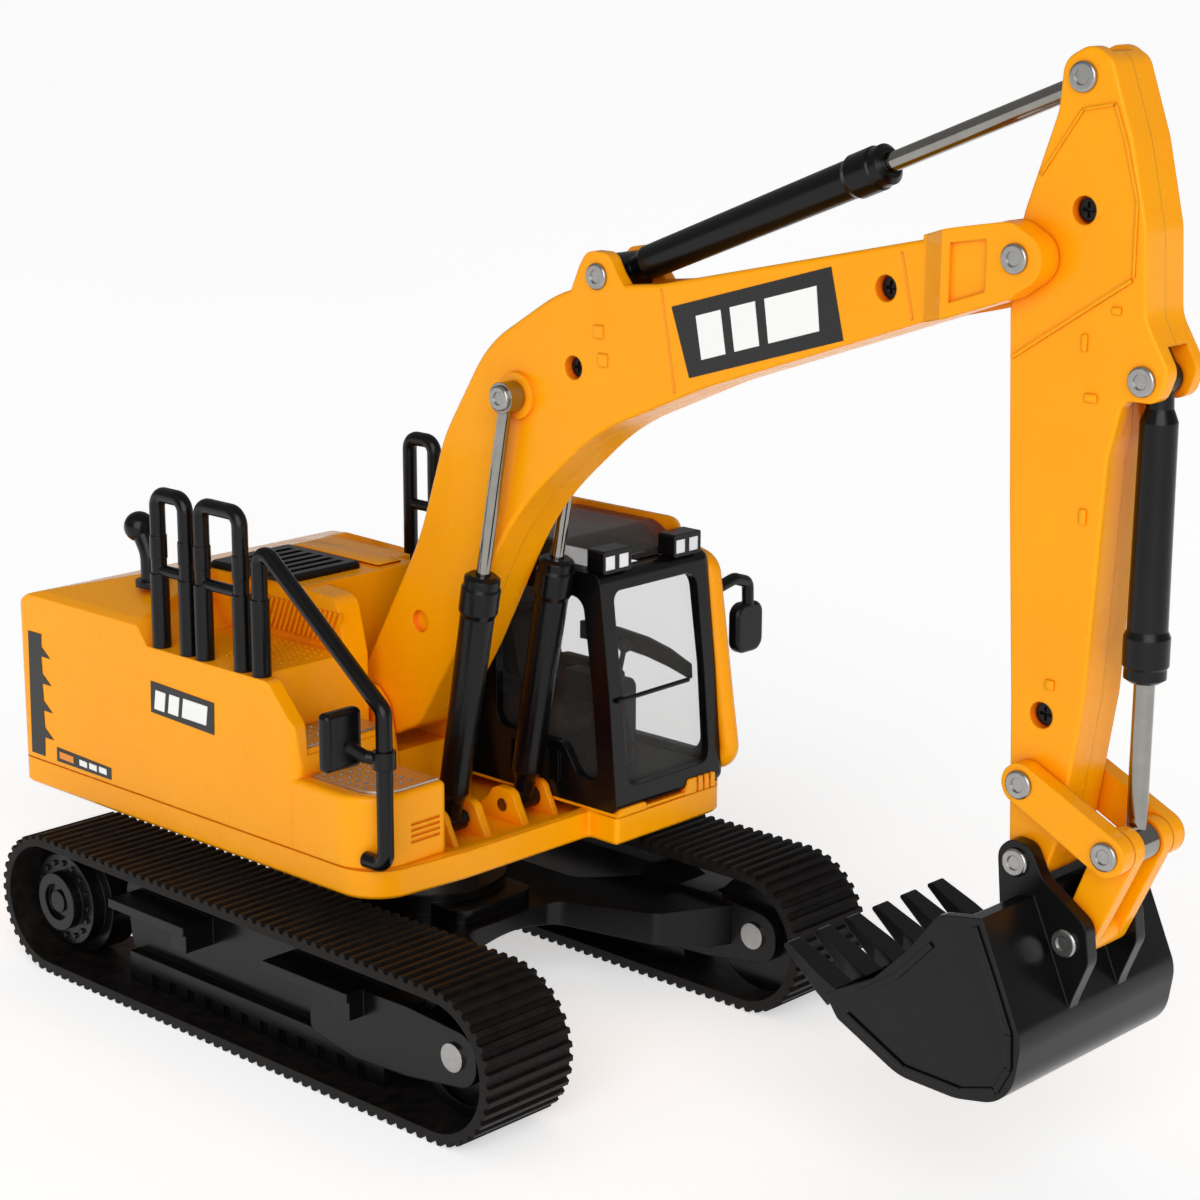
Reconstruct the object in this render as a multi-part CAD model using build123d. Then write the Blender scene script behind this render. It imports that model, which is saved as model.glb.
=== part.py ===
from build123d import *
from math import atan2, cos, hypot, pi, sin
import os

# Toy tracked excavator, 1:32 scale, millimetres.
# X points forward, Y to the machine's left (cab side), Z up.
# The origin is on the ground under the slew axis.

# ---- undercarriage -------------------------------------------------------
track_length = 139.4
track_height = 28.4
belt_width = 20.0
belt_thickness = 2.3
bar_count = 124
bar_height = 0.8
track_gauge = 80.8           # distance between the centre lines of the belts
wheel_clearance = 0.35       # wheel rim to belt
axle_diameter = 3.0
idler_width = 6.4
cheek_thickness = 2.0
cheek_gap = 0.4              # side clearance of a wheel between its cheeks
slew_post_diameter = 20.8
step_length = 23.0

# ---- upper structure -----------------------------------------------------
deck_bottom = 33.0
deck_floor = 36.0
seam_height = 38.6
tail_x = -76.5
side_y = 39.5
shell_wall = 2.0
side_top = 69.0
tail_top = 73.4
hood_top = 80.0
front_deck_x = 31.0
step_height_1 = 57.0
step_height_2 = 52.0
post_diameter = 3.0
rail_y = -side_y + 1.9
cab_right = 14.0
cab_left = 45.4
cab_front = 38.2
cab_rear = -14.0
cab_sill = 39.2
cab_head = 84.8
cab_wall = 1.8
cab_glass = 0.8

# ---- boom, arm, bucket ---------------------------------------------------
boom_half = 6.6
arm_half = 5.2
boom_wall = 1.5
ear_gap = 0.35               # side clearance between an ear and what turns in it
ear_thickness = 4.6
pin_diameter = 2.6
rivet_diameter = 4.6
rivet_height = 0.7
screw_head = 3.4
cylinder_y = boom_half + 3.0
clevis_ears = ((cylinder_y - 5.6, cylinder_y - 3.8), (cylinder_y + 3.0, cylinder_y + 4.2))
boom_barrel_diameter = 6.6
boom_rod_diameter = 2.5
arm_barrel_diameter = 6.6
arm_rod_diameter = 3.2
bucket_barrel_diameter = 6.4
bucket_rod_diameter = 3.2
bore_clearance = 0.1
bucket_half = 21.6
bucket_wall = 1.6
tooth_count = 6

# Pivots as (x, z)
boom_foot = (-7.0, 55.0)
boom_cylinder_foot = (17.5, 38.9)
boom_rod_eye = (33.2, 121.2)
arm_cylinder_base = (52.2, 143.9)
arm_pivot = (139.8, 154.7)
arm_rod_eye = (147.0, 181.0)
bucket_cylinder_base = (159.3, 138.2)
rocker_pivot = (143.4, 74.4)
bucket_pivot = (143.0, 61.6)
rocker_end = (159.2, 66.6)
bucket_link_pivot = (152.6, 50.9)

axle_z = track_height / 2
axle_x = (track_length - track_height) / 2
belt_inner_radius = track_height / 2 - belt_thickness
wheel_radius = belt_inner_radius - wheel_clearance
belt_y = track_gauge / 2
ear_inner = arm_half + ear_gap
ear_outer = ear_inner + ear_thickness


# ---- helpers -------------------------------------------------------------
def outline(points):
    """Closed flat outline from (u, v) or (u, v, corner radius) points."""
    sketch = make_face(Polyline(*[(p[0], p[1]) for p in points], close=True))
    for point in points:
        if len(point) == 3:
            corner = sketch.vertices().sort_by_distance((point[0], point[1], 0))[0]
            sketch = fillet(corner, point[2])
    return sketch


def side_slab(sketch, y_low, y_high):
    """Extrude an (x, z) outline between two Y values."""
    face_plane = Plane((0, y_high, 0), x_dir=(1, 0, 0), z_dir=(0, -1, 0))
    return extrude(face_plane * sketch, amount=y_high - y_low, dir=(0, -1, 0))


def flat_slab(sketch, z_low, z_high):
    """Extrude an (x, y) outline between two Z values."""
    return extrude(Pos(0, 0, z_low) * sketch, amount=z_high - z_low, dir=(0, 0, 1))


def front_slab(sketch, x_low, x_high):
    """Extrude a (y, z) outline between two X values."""
    face_plane = Plane((x_low, 0, 0), x_dir=(0, 1, 0), z_dir=(1, 0, 0))
    return extrude(face_plane * sketch, amount=x_high - x_low, dir=(1, 0, 0))


def block(x_low, x_high, y_low, y_high, z_low, z_high):
    size = (x_high - x_low, y_high - y_low, z_high - z_low)
    centre = Pos((x_low + x_high) / 2, (y_low + y_high) / 2, (z_low + z_high) / 2)
    return centre * Box(*size)


def cross_pin(place, diameter, y_low, y_high):
    """Cylinder along Y at an (x, z) place."""
    return side_slab(Pos(place[0], place[1]) * Circle(diameter / 2), y_low, y_high)


def rod_between(start, end, diameter):
    """Round rod between two points in space."""
    axis = Vector(*end) - Vector(*start)
    base = Plane(start, z_dir=axis)
    return extrude(base * Circle(diameter / 2), amount=axis.length)


def bent_tube(points, radius, diameter):
    """Round tube along a path with rounded corners."""
    path = FilletPolyline(*points, radius=radius)
    section = Plane(path @ 0, z_dir=path % 0) * Circle(diameter / 2)
    return sweep(section, path=path)


def mirror_y(shape):
    return mirror(shape, about=Plane.XZ)


def rivet(place, side, face_y):
    """Domed rivet head with a rim, standing on the face at |y| = face_y."""
    head = cross_pin(place, rivet_diameter, face_y, face_y + rivet_height)
    head = fillet(head.edges().sort_by(Axis.Y)[-1], rivet_height * 0.6)
    dimple = cross_pin(place, rivet_diameter * 0.5, face_y + rivet_height * 0.6, face_y + 1)
    head -= dimple
    return head if side > 0 else mirror_y(head)


def through_rivet(place, face_y):
    """Pin with a rivet head on both sides."""
    return (cross_pin(place, pin_diameter, -face_y, face_y)
            + rivet(place, 1, face_y) + rivet(place, -1, face_y))


def split_rivet(place, face_y, inner_y):
    """Two short pins with outer rivet heads, clear of the slot between them."""
    half = cross_pin(place, pin_diameter, inner_y, face_y) + rivet(place, 1, face_y)
    return [half, mirror_y(half)]


def screw(place, y_face, length):
    """Cross-head screw entering from the right side, head sunk at y_face."""
    head = cross_pin(place, screw_head, y_face, y_face + 1.2)
    slot_a = block(place[0] - 1.1, place[0] + 1.1, y_face - 1, y_face + 0.6,
                   place[1] - 0.25, place[1] + 0.25)
    slot_b = block(place[0] - 0.25, place[0] + 0.25, y_face - 1, y_face + 0.6,
                   place[1] - 1.1, place[1] + 1.1)
    return head - slot_a - slot_b + cross_pin(place, 1.8, y_face + 1.2, y_face + length)


def stadium(radius):
    """Flat (x, z) stadium around the two wheel axles."""
    return Pos(0, axle_z) * SlotCenterToCenter(2 * axle_x, 2 * radius)


parts = {}


# ---- undercarriage -------------------------------------------------------
def belt_point(distance, radius):
    """Point on the stadium of a radius, at a share of the way round."""
    straight = 2 * axle_x
    arc = pi * (track_height / 2)
    run = distance * (2 * straight + 2 * arc)
    if run < straight:
        return (-axle_x + run, axle_z + radius)
    if run < straight + arc:
        turn = pi / 2 - (run - straight) / (track_height / 2)
        return (axle_x + radius * cos(turn), axle_z + radius * sin(turn))
    if run < 2 * straight + arc:
        return (axle_x - (run - straight - arc), axle_z - radius)
    turn = -pi / 2 - (run - 2 * straight - arc) / (track_height / 2)
    return (-axle_x + radius * cos(turn), axle_z + radius * sin(turn))


def belt():
    tip = track_height / 2
    root = tip - bar_height
    ring = []
    for bar in range(bar_count):
        for share, radius in ((0.0, root), (0.12, tip), (0.50, tip), (0.62, root)):
            ring.append(belt_point((bar + share) / bar_count, radius))
    profile = make_face(Polyline(*ring, close=True)) - stadium(belt_inner_radius)
    return side_slab(profile, belt_y - belt_width / 2, belt_y + belt_width / 2)


wheel_y_low = belt_y - idler_width / 2 - 0.9
wheel_y_high = wheel_y_low + idler_width
cheek_out = wheel_y_high + cheek_gap + cheek_thickness
cheek_in = wheel_y_low - cheek_gap - cheek_thickness
hub_face = belt_y + 7.4
hub_diameter = 11.6
sprocket_face = hub_face - 2.2


def track_frame():
    floor_z = belt_thickness
    reach = axle_x - belt_inner_radius - 3.0
    front_reach = axle_x + 5.5
    beam = outline([(-reach + 2, 7.5, 2), (-reach, 22, 3), (-24, 22.5, 3), (30, 22.5, 3),
                    (reach - 2, 19, 3), (reach - 2, 7.5, 2)])
    body = side_slab(beam, cheek_in, cheek_out - 3.2)
    guard = block(-reach + 4, reach - 4, cheek_in + 1.5, cheek_out - 0.8, floor_z, 8.2)
    for step in range(12):
        notch_x = -30 + step * 5.4
        guard -= block(notch_x, notch_x + 2.2, cheek_out - 2.0, cheek_out + 1, floor_z - 1, 5.0)
    cheek = outline([(18, 8.2, 2), (18, 19.5, 2), (44, 20.0, 3), (front_reach, axle_z + 4.6, 4.5),
                     (front_reach, axle_z - 4.6, 4.5), (44, 7.0, 3), (30, 6.2, 3)])
    cheeks = side_slab(cheek, cheek_in, cheek_out)
    wheel_room = side_slab(Pos(axle_x, axle_z) * Circle(wheel_radius + 0.8),
                           wheel_y_low - cheek_gap, wheel_y_high + cheek_gap)
    step_rear = step_bracket(-25.0)
    step_front = step_bracket(21.0)
    rear_arm = outline([(-reach + 4, 9, 2), (-axle_x, axle_z - 5.5, 3),
                        (-axle_x, axle_z + 5.5, 3), (-reach + 4, 19, 2)])
    rear_cheek = side_slab(rear_arm, cheek_in, cheek_in + cheek_thickness)
    rear_boss = cross_pin((-axle_x, axle_z), 12, cheek_in, cheek_in + cheek_thickness)
    frame = body + guard + cheeks + step_rear + step_front + rear_cheek + rear_boss - wheel_room
    axle_bore = axle_diameter
    for wheel_x in (-axle_x, axle_x):
        frame -= cross_pin((wheel_x, axle_z), axle_bore, cheek_in - 1, cheek_out + 1)
    return frame


def step_bracket(centre_x):
    """Step bracket on the outer side of the track frame."""
    reach = step_length / 2
    shelf = block(centre_x - reach, centre_x + reach, cheek_out - 4, belt_y + 8.6, 18.4, 20.2)
    end = block(centre_x + reach - 4.2, centre_x + reach, cheek_out - 4, belt_y + 8.0, 15.0, 18.4)
    return shelf + end


def idler():
    wheel = cross_pin((axle_x, axle_z), 2 * wheel_radius, wheel_y_low, wheel_y_high)
    wheel -= side_slab(Pos(axle_x, axle_z) * (Circle(wheel_radius - 2) - Circle(4.2)),
                       wheel_y_high - 1.4, wheel_y_high + 1)
    return wheel - cross_pin((axle_x, axle_z), axle_diameter + bore_clearance, 0, 99)


def sprocket():
    place = (-axle_x, axle_z)
    rim = cross_pin(place, 2 * wheel_radius, wheel_y_low, wheel_y_high)
    drum = cross_pin(place, 18.4, wheel_y_high, sprocket_face)
    hub = cross_pin(place, hub_diameter, sprocket_face, hub_face)
    wheel = rim + drum + hub
    wheel -= cross_pin(place, hub_diameter - 4.2, hub_face - 1.0, hub_face + 1)
    wheel += cross_pin(place, 4.4, hub_face - 1.0, hub_face - 0.3)
    for bolt in range(16):
        turn = 2 * pi * bolt / 16
        spot = (place[0] + 7.5 * cos(turn), place[1] + 7.5 * sin(turn))
        wheel += cross_pin(spot, 1.1, sprocket_face, sprocket_face + 0.5)
    wheel -= cross_pin(place, axle_diameter + bore_clearance, 0, hub_face - 2.4)
    return wheel


def track_axles():
    rear = cross_pin((-axle_x, axle_z), axle_diameter, cheek_in, hub_face - 2.5)
    shaft = cross_pin((axle_x, axle_z), axle_diameter, cheek_in, cheek_out)
    outer_disc = cross_pin((axle_x, axle_z), 5.2, cheek_out, cheek_out + 0.6)
    inner_disc = cross_pin((axle_x, axle_z), 5.2, cheek_in - 0.6, cheek_in)
    return [rear, shaft + outer_disc + inner_disc]


def chassis():
    """X-shaped chassis frame with a round seat for the slew post."""
    half = [(24, 0), (24, 12, 4), (43, 20, 3), (50, cheek_in), (26, cheek_in),
            (18, 24, 6), (-18, 24, 6), (-26, cheek_in), (-50, cheek_in),
            (-43, 20, 3), (-24, 12, 4), (-24, 0)]
    left = flat_slab(outline(half), 11.0, 19.0)
    legs_low = block(-60, 60, 22.5, cheek_in, 4, 11)
    plate = left - block(-60, 60, 0, 60, 0, 11)
    arch = front_slab(outline([(-40, 5), (40, 5), (40, 9), (0, 16.5, 30), (-40, 9)]), -60, 60)
    plate = plate - arch - legs_low
    rim = flat_slab(outline([(20.5, 0), (20.5, 10, 3), (-20.5, 10, 3), (-20.5, 0)]), 19.0, 21.4)
    side = plate + rim
    frame = side + mirror_y(side)
    frame += Pos(0, 0, 20) * Cylinder(16, 6)
    frame -= Pos(0, 0, 20) * Cylinder(slew_post_diameter / 2, 40)
    return frame


def slew_post():
    radius = slew_post_diameter / 2
    post = Pos(0, 0, (9.0 + deck_bottom - 0.3) / 2) * Cylinder(radius, deck_bottom - 0.3 - 9.0)
    stub = Pos(0, 0, deck_bottom + 1.2) * Cylinder(5.0, 3.6)
    return post + stub


parts["chassis_frame"] = chassis()
parts["slew_post"] = slew_post()
for side_name, flip in (("left", False), ("right", True)):
    for name, maker in (("track_frame", track_frame), ("track_belt", belt),
                        ("idler_wheel", idler), ("sprocket", sprocket)):
        shape = maker()
        parts[name + "_" + side_name] = mirror_y(shape) if flip else shape
left_axles = track_axles()
parts["track_axles"] = Compound(children=left_axles + [mirror_y(axle) for axle in left_axles])


# ---- upper structure -----------------------------------------------------
tail_bulge = 4.0
tail_shoulder = 61.0           # the rear face slopes forward above this
body_left = side_y


def deck_plan(inset):
    """Plan of the slewing deck, in from the outer edge by an inset."""
    left = cab_left - inset
    right = -side_y + inset
    return outline([(tail_x + inset, right, 3), (front_deck_x - 2 - inset, right, 9),
                    (front_deck_x - inset, -18, 1), (front_deck_x - inset, cab_right, 0.5),
                    (cab_front - inset, cab_right + inset, 1), (cab_front - inset, left, 4),
                    (cab_rear, left), (cab_rear - 4, body_left - inset, 3),
                    (tail_x + inset, body_left - inset, 3),
                    (tail_x - tail_bulge + inset, 14, 40), (tail_x - tail_bulge + inset, -14, 40)])


def deck_tray():
    """Lower yellow moulding: a tray with a floor, under everything else."""
    tray = flat_slab(deck_plan(0), deck_bottom, seam_height)
    tray = chamfer(tray.faces().sort_by(Axis.Z)[0].edges(), 0.6)
    tray -= flat_slab(deck_plan(shell_wall), deck_floor, seam_height + 1)
    seam = flat_slab(deck_plan(-1), seam_height - 0.25, seam_height + 1)
    tray -= seam - flat_slab(deck_plan(0.5), seam_height - 1, seam_height + 2)
    tray -= Pos(0, 0, deck_bottom) * Cylinder(5.0 + bore_clearance, 20)
    for side in (-1, 1):
        for start, end in clevis_ears:
            low, high = sorted((side * start, side * end))
            tray += clevis_ear(low, high)
    return tray


def clevis_ear(y_low, y_high):
    """Upright ear that holds one end of a boom cylinder foot pin."""
    x, z = boom_cylinder_foot
    ear = outline([(x - 9, deck_floor - 0.5), (x - 3.4, z + 1.4, 2), (x - 2.6, z + 3.4, 2.4),
                   (x + 2.6, z + 3.4, 2.4), (x + 3.6, z + 1.0, 2), (x + 6, deck_floor - 0.5)])
    return side_slab(ear, y_low, y_high) - cross_pin((x, z), pin_diameter, -99, 99)


parts["deck_tray"] = deck_tray()

ledge_depth = 2.4
step_inner_y = -20.5
step_x_0 = -2.5
step_x_1 = 8.5
well_half = 17.0
hood_front = -14.0


def hood_louvres():
    """Row of slanted ribs on the right side wall of the hood."""
    ribs = []
    low, high = side_top + 1.4, hood_top - 3.4
    for rib in range(20):
        x = -33 + rib * 1.4
        slat = outline([(x, low), (x + 0.7, low), (x + 3.3, high), (x + 2.6, high)])
        ribs.append(side_slab(slat, -well_half - 0.5, -well_half + 0.2))
    return ribs


def hood_cheek():
    """Right side of the hood, carried forward beside the boom foot."""
    cheek = outline([(hood_front - 1, seam_height), (hood_front - 1, hood_top - 0.2), (-5, hood_top - 1.0, 3),
                     (step_x_0, side_top - 1, 4), (step_x_0, seam_height)])
    return side_slab(cheek, -well_half, -well_half + 5.4)


def body_outer():
    """Outer form of the engine body, counterweight and steps."""
    plan = flat_slab(outline([(tail_x, -side_y, 3), (step_x_1 + 0.5, -side_y, 2),
                              (step_x_1 + 0.5, body_left), (tail_x, body_left, 3),
                              (tail_x - tail_bulge, 14, 40), (tail_x - tail_bulge, -14, 40)]),
                     seam_height, 99)
    section = front_slab(outline([(-side_y - 1, seam_height - 1), (-side_y - 1, tail_top - 1.5),
                                  (-side_y + 1.5, tail_top, 1.2), (-20, hood_top, 6),
                                  (20, hood_top, 6), (body_left - 1.5, tail_top, 1.2),
                                  (body_left + 1, tail_top - 1.5), (body_left + 1, seam_height - 1)]),
                         tail_x - 9, step_x_1 + 9)
    profile = side_slab(outline([(tail_x - 6, seam_height - 1), (tail_x - tail_bulge + 0.5, tail_shoulder, 6),
                                 (tail_x + 1.5, tail_top - 1.4, 9), (-43, hood_top + 0.1, 6),
                                 (step_x_1 + 9, hood_top + 0.1), (step_x_1 + 9, seam_height - 1)]),
                        -side_y - 2, body_left + 2)
    return plan & section & profile


def body_shell():
    outer = body_outer()
    # platform along the right side, in front of the raised tail
    outer -= block(-33, 40, -side_y - 1, -well_half, side_top, 99)
    wedge = outline([(-37.5, tail_top + 8), (-37.5, tail_top), (-34.0, side_top), (-30, side_top),
                     (-30, tail_top + 8)])
    outer -= side_slab(wedge, -side_y - 1, -well_half - 3)
    # the left platform behind the cab
    outer -= block(cab_rear - 6, 40, 12, 99, 0, 99)
    outer -= block(-47, 40, 15.5, 99, side_top, 99)
    # the boom well
    outer -= block(hood_front, 40, -well_half, 99, 0, 99)
    # stair recess inside the right panel
    outer -= block(step_x_0, 40, -side_y + 3.0, 0, step_height_1 - 1, 99)
    nose = outline([(step_x_0 - 1, 75), (-3.4, side_top + 0.1), (1.6, side_top, 2), (8.4, 61.8, 2.5),
                    (step_x_1 + 0.6, 53), (step_x_1 + 2, 53), (step_x_1 + 2, 75)])
    outer -= side_slab(nose, -side_y - 1, 0)
    inner = body_cavity()
    shell = outer - inner
    shell += right_step() + hood_cheek()
    for rib in hood_louvres():
        shell += rib
    return shell


def cavity_plan(rear):
    """Plan of the hollow inside the engine body, inside the walls; rear is its rear edge, as outline points."""
    wall = shell_wall
    return outline(rear + [(step_x_0 - wall, -side_y + wall, 1), (step_x_0 - wall, -well_half - wall),
                           (hood_front - wall, -well_half - wall), (hood_front - wall, 12 - wall),
                           (cab_rear - 6 - wall, 12 - wall), (cab_rear - 6 - wall, body_left - wall)])


def body_cavity():
    """Hollow inside of the engine body, open at the bottom, stepped in under the sloping tail."""
    wall = shell_wall
    bulge = tail_x - tail_bulge + wall
    low_rear = [(tail_x + 4.5, body_left - wall, 4), (bulge, 12, 30), (bulge, -12, 30),
                (tail_x + 4.5, -side_y + wall, 4)]
    middle_rear = [(tail_x + 6, body_left - wall, 4), (tail_x + 6, -side_y + wall, 4)]
    low = flat_slab(cavity_plan(low_rear), seam_height - 1, tail_shoulder - wall)
    middle = flat_slab(cavity_plan(middle_rear), tail_shoulder - wall - 1, side_top - wall)
    high = block(-54, hood_front - wall, -15, 12 - wall, side_top - wall - 1, hood_top - wall - 3)
    return low + middle + high


def right_step():
    """Two lower stair boxes in the right front corner."""
    upper = block(step_x_0, step_x_1, -side_y + 2.6, -well_half, step_height_1 - 3, step_height_1)
    upper += block(step_x_1 - 2, step_x_1, -side_y + 2.6, -well_half, seam_height, step_height_1)
    step_front = front_deck_x - ledge_depth
    lower_plan = outline([(step_x_1 - 1, -side_y), (step_front, -side_y, 9),
                          (step_front, step_inner_y, 1.5), (step_x_1 - 1, step_inner_y)])
    lower = flat_slab(lower_plan, seam_height, step_height_2)
    lower = fillet(lower.edges().filter_by(Axis.Z, reverse=True).group_by(Axis.Z)[-1], 1.0)
    lower -= block(step_x_1 - 2, step_front - 3, -side_y + 7, step_inner_y - 2, seam_height - 1,
                   step_height_2 - 2.5)
    for rib in range(4):
        z = step_height_2 - 6.5 - rib * 1.1
        lower -= block(step_front - 0.4, step_front + 1, -29.5, step_inner_y - 2, z, z + 0.45)
    return upper + lower


parts["body_shell"] = body_shell()


def boom_pedestal():
    """Yellow block with two ears for the boom foot."""
    x, z = boom_foot
    ear_profile = outline([(x - 6.5, deck_floor), (x - 5.6, z + 3.4, 3.4), (x - 2.4, z + 5.6, 3),
                           (x + 2.4, z + 5.6, 3), (x + 5.6, z + 2.4, 3.4), (x + 10, deck_floor)])
    inner = boom_half + ear_gap
    ear = side_slab(ear_profile, inner, inner + 3.0)
    base = side_slab(outline([(x - 6.5, deck_floor), (x - 6.5, z - 7.2), (x + 6.4, z - 7.2),
                              (x + 10, deck_floor)]), -inner - 0.01, inner + 0.01)
    pedestal = base + ear + mirror_y(ear)
    return pedestal - cross_pin((x, z), pin_diameter, -99, 99)


parts["boom_pedestal"] = boom_pedestal()
parts["boom_foot_pin"] = through_rivet(boom_foot, boom_half + ear_gap + 3.0)


def tread_plates():
    """Two dimpled metal tread plates on the lower stairs."""
    plates = []
    for x_low, x_high, y_low, y_high, z in (
            (step_x_0 + 0.3, step_x_1 - 0.6, -side_y + 3.6, -well_half - 0.6, step_height_1),
            (step_x_1 + 1.2, front_deck_x - ledge_depth - 1.2, -36.4, step_inner_y - 1.2, step_height_2)):
        plate = block(x_low, x_high, y_low, y_high, z, z + 0.5)
        if z == step_height_2:
            plate = fillet(plate.edges().filter_by(Axis.Z).sort_by(Axis.X)[-2:].sort_by(Axis.Y)[0], 6)
        rows = int((y_high - y_low - 1.5) / 2.2)
        columns = int((x_high - x_low - 1.5) / 2.2)
        for row in range(rows):
            for column in range(columns):
                spot = (x_low + 1.6 + 2.2 * column, y_low + 1.6 + 2.2 * row)
                if z == step_height_2 and spot[0] > x_high - 3.6 and spot[1] < y_low + 3.6:
                    continue
                plate += Pos(spot[0], spot[1], z + 0.6) * Cone(0.55, 0.3, 0.3)
        plates.append(plate)
    return Compound(children=plates)


parts["tread_plates"] = tread_plates()


def hood_grille():
    frame = flat_slab(outline([(-40, -19.5, 1), (-18, -17.5, 1), (-18, 1, 1), (-40, 1, 1)]),
                      hood_top, hood_top + 1.4)
    frame = chamfer(frame.faces().sort_by(Axis.Z)[-1].edges(), 0.6)
    for slat in range(6):
        x = -36.8 + slat * 3.0
        frame -= block(x, x + 1.5, -16.5, -1.5, hood_top + 0.6, hood_top + 2)
    return frame


parts["hood_grille"] = hood_grille()


def exhaust():
    """Stack that leans to the rear, with a collar and a flared oval mouth."""
    x, y, foot_z = -45.0, -29.5, 77.2
    pipe = bent_tube([(x, y, foot_z), (x, y, foot_z + 6.5), (x - 3.2, y, foot_z + 11.5)], 5, 4.0)
    collar = Pos(x, y, foot_z + 0.6) * Cylinder(3.1, 1.2)
    mouth = Pos(x - 3.2, y, foot_z + 11.2) * Sphere(3.0)
    mouth -= Pos(x - 6.6, y, foot_z + 12.6) * Sphere(3.2)
    return pipe + collar + mouth - parts["body_shell"]


parts["exhaust_pipe"] = exhaust()


def rail_loop(x_rear, x_front, top_z, bar_z):
    """Hoop of round tube with sleeves low on both posts and one cross bar."""
    foot_z = side_top
    hoop = bent_tube([(x_rear, rail_y, foot_z), (x_rear, rail_y, top_z), (x_front, rail_y, top_z),
                      (x_front, rail_y, foot_z)], 2.4, post_diameter)
    for x in (x_rear, x_front):
        hoop += Pos(x, rail_y, foot_z + 7.2) * Cylinder(post_diameter / 2 + 0.3, 14.4)
        hoop += Pos(x, rail_y, foot_z + 19.5) * Cylinder(post_diameter / 2 + 0.15, 4.4)
    return hoop + rod_between((x_rear, rail_y, bar_z), (x_front, rail_y, bar_z), 2.2)


parts["handrail_rear"] = rail_loop(-31.6, -23.2, 98.6, 84.0)
parts["handrail_middle"] = rail_loop(-18.6, -7.4, 98.4, 83.6)


stair_post = (31.6, -side_y + 1.1)


def stair_rail():
    """Rail from the platform down the stairs, with a foot that turns in to the corner."""
    x_front, y_front = stair_post
    foot_z = seam_height + 2.4
    rail = bent_tube([(-2.2, rail_y, side_top), (-2.2, rail_y, 94.0), (x_front, y_front, 69.4),
                      (x_front, y_front, foot_z), (26.4, y_front, foot_z)], 2.2, post_diameter)
    sleeve = Pos(-2.2, rail_y, side_top + 7.2) * Cylinder(post_diameter / 2 + 0.3, 14.4)
    return rail + sleeve


parts["stair_rail"] = stair_rail()


def right_mirror():
    x_front, y_front = stair_post
    arm = bent_tube([(x_front - 0.4, y_front, 60.5), (x_front - 3.0, y_front - 2.0, 61.0),
                     (x_front - 4.4, y_front - 5.0, 63.5)], 1.6, 2.4)
    arm += Pos(x_front, y_front, 60.6) * Cylinder(2.1, 3.2)
    head = block(x_front - 6.6, x_front - 3.8, y_front - 9.8, y_front - 1.4, 59.0, 69.8)
    return arm + fillet(head.edges(), 1.1) - parts["stair_rail"]


parts["right_mirror"] = right_mirror()


def left_rail():
    y = body_left - 3.5
    x_rear, x_front = -42.0, -34.5
    hoop = bent_tube([(x_rear, y, side_top), (x_rear, y, 98), (x_front, y, 98), (x_front, y, side_top)],
                     2.4, post_diameter)
    return hoop + rod_between((x_rear, y, 84), (x_front, y, 84), 2.2)


parts["left_handrail"] = left_rail()


# ---- cab -----------------------------------------------------------------
def cab_section(inset):
    """Cab outline seen from the side."""
    return outline([(cab_rear + inset, cab_sill + inset, 1.5), (cab_rear + inset, cab_head - inset, 4),
                    (cab_front - 4.8 - inset, cab_head - inset, 2), (cab_front - 2.0 - inset, 62, 20),
                    (cab_front - inset, cab_sill + inset, 1.5)])


def cab_plan(inset, rear):
    return outline([(rear + inset, cab_right + inset), (cab_front - inset, cab_right + inset, 1.0),
                    (cab_front - inset, cab_left - inset, 4), (rear + inset, cab_left - inset, 2)])


def cab_floor():
    """Yellow sill under the cab, with three grooves at its left front corner."""
    sill = flat_slab(cab_plan(0, cab_rear), seam_height, cab_sill)
    lip_top = cab_sill + 2.4
    for low, high, top in ((cab_left - 11.2, cab_left - 3.6, lip_top), (cab_right + 1, cab_right + 8, cab_sill + 0.9)):
        lip = outline([(low - 1.2, seam_height), (low, top, 0.6), (high, top, 0.6), (high, seam_height)])
        sill += front_slab(lip, cab_front - 1.5, cab_front + 0.3)
    for groove in range(3):
        y = cab_left - 9.0 + groove * 1.8
        sill -= block(cab_front - 0.3, cab_front + 2, y, y + 0.7, seam_height - 0.1, lip_top + 0.1)
    return sill


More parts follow.
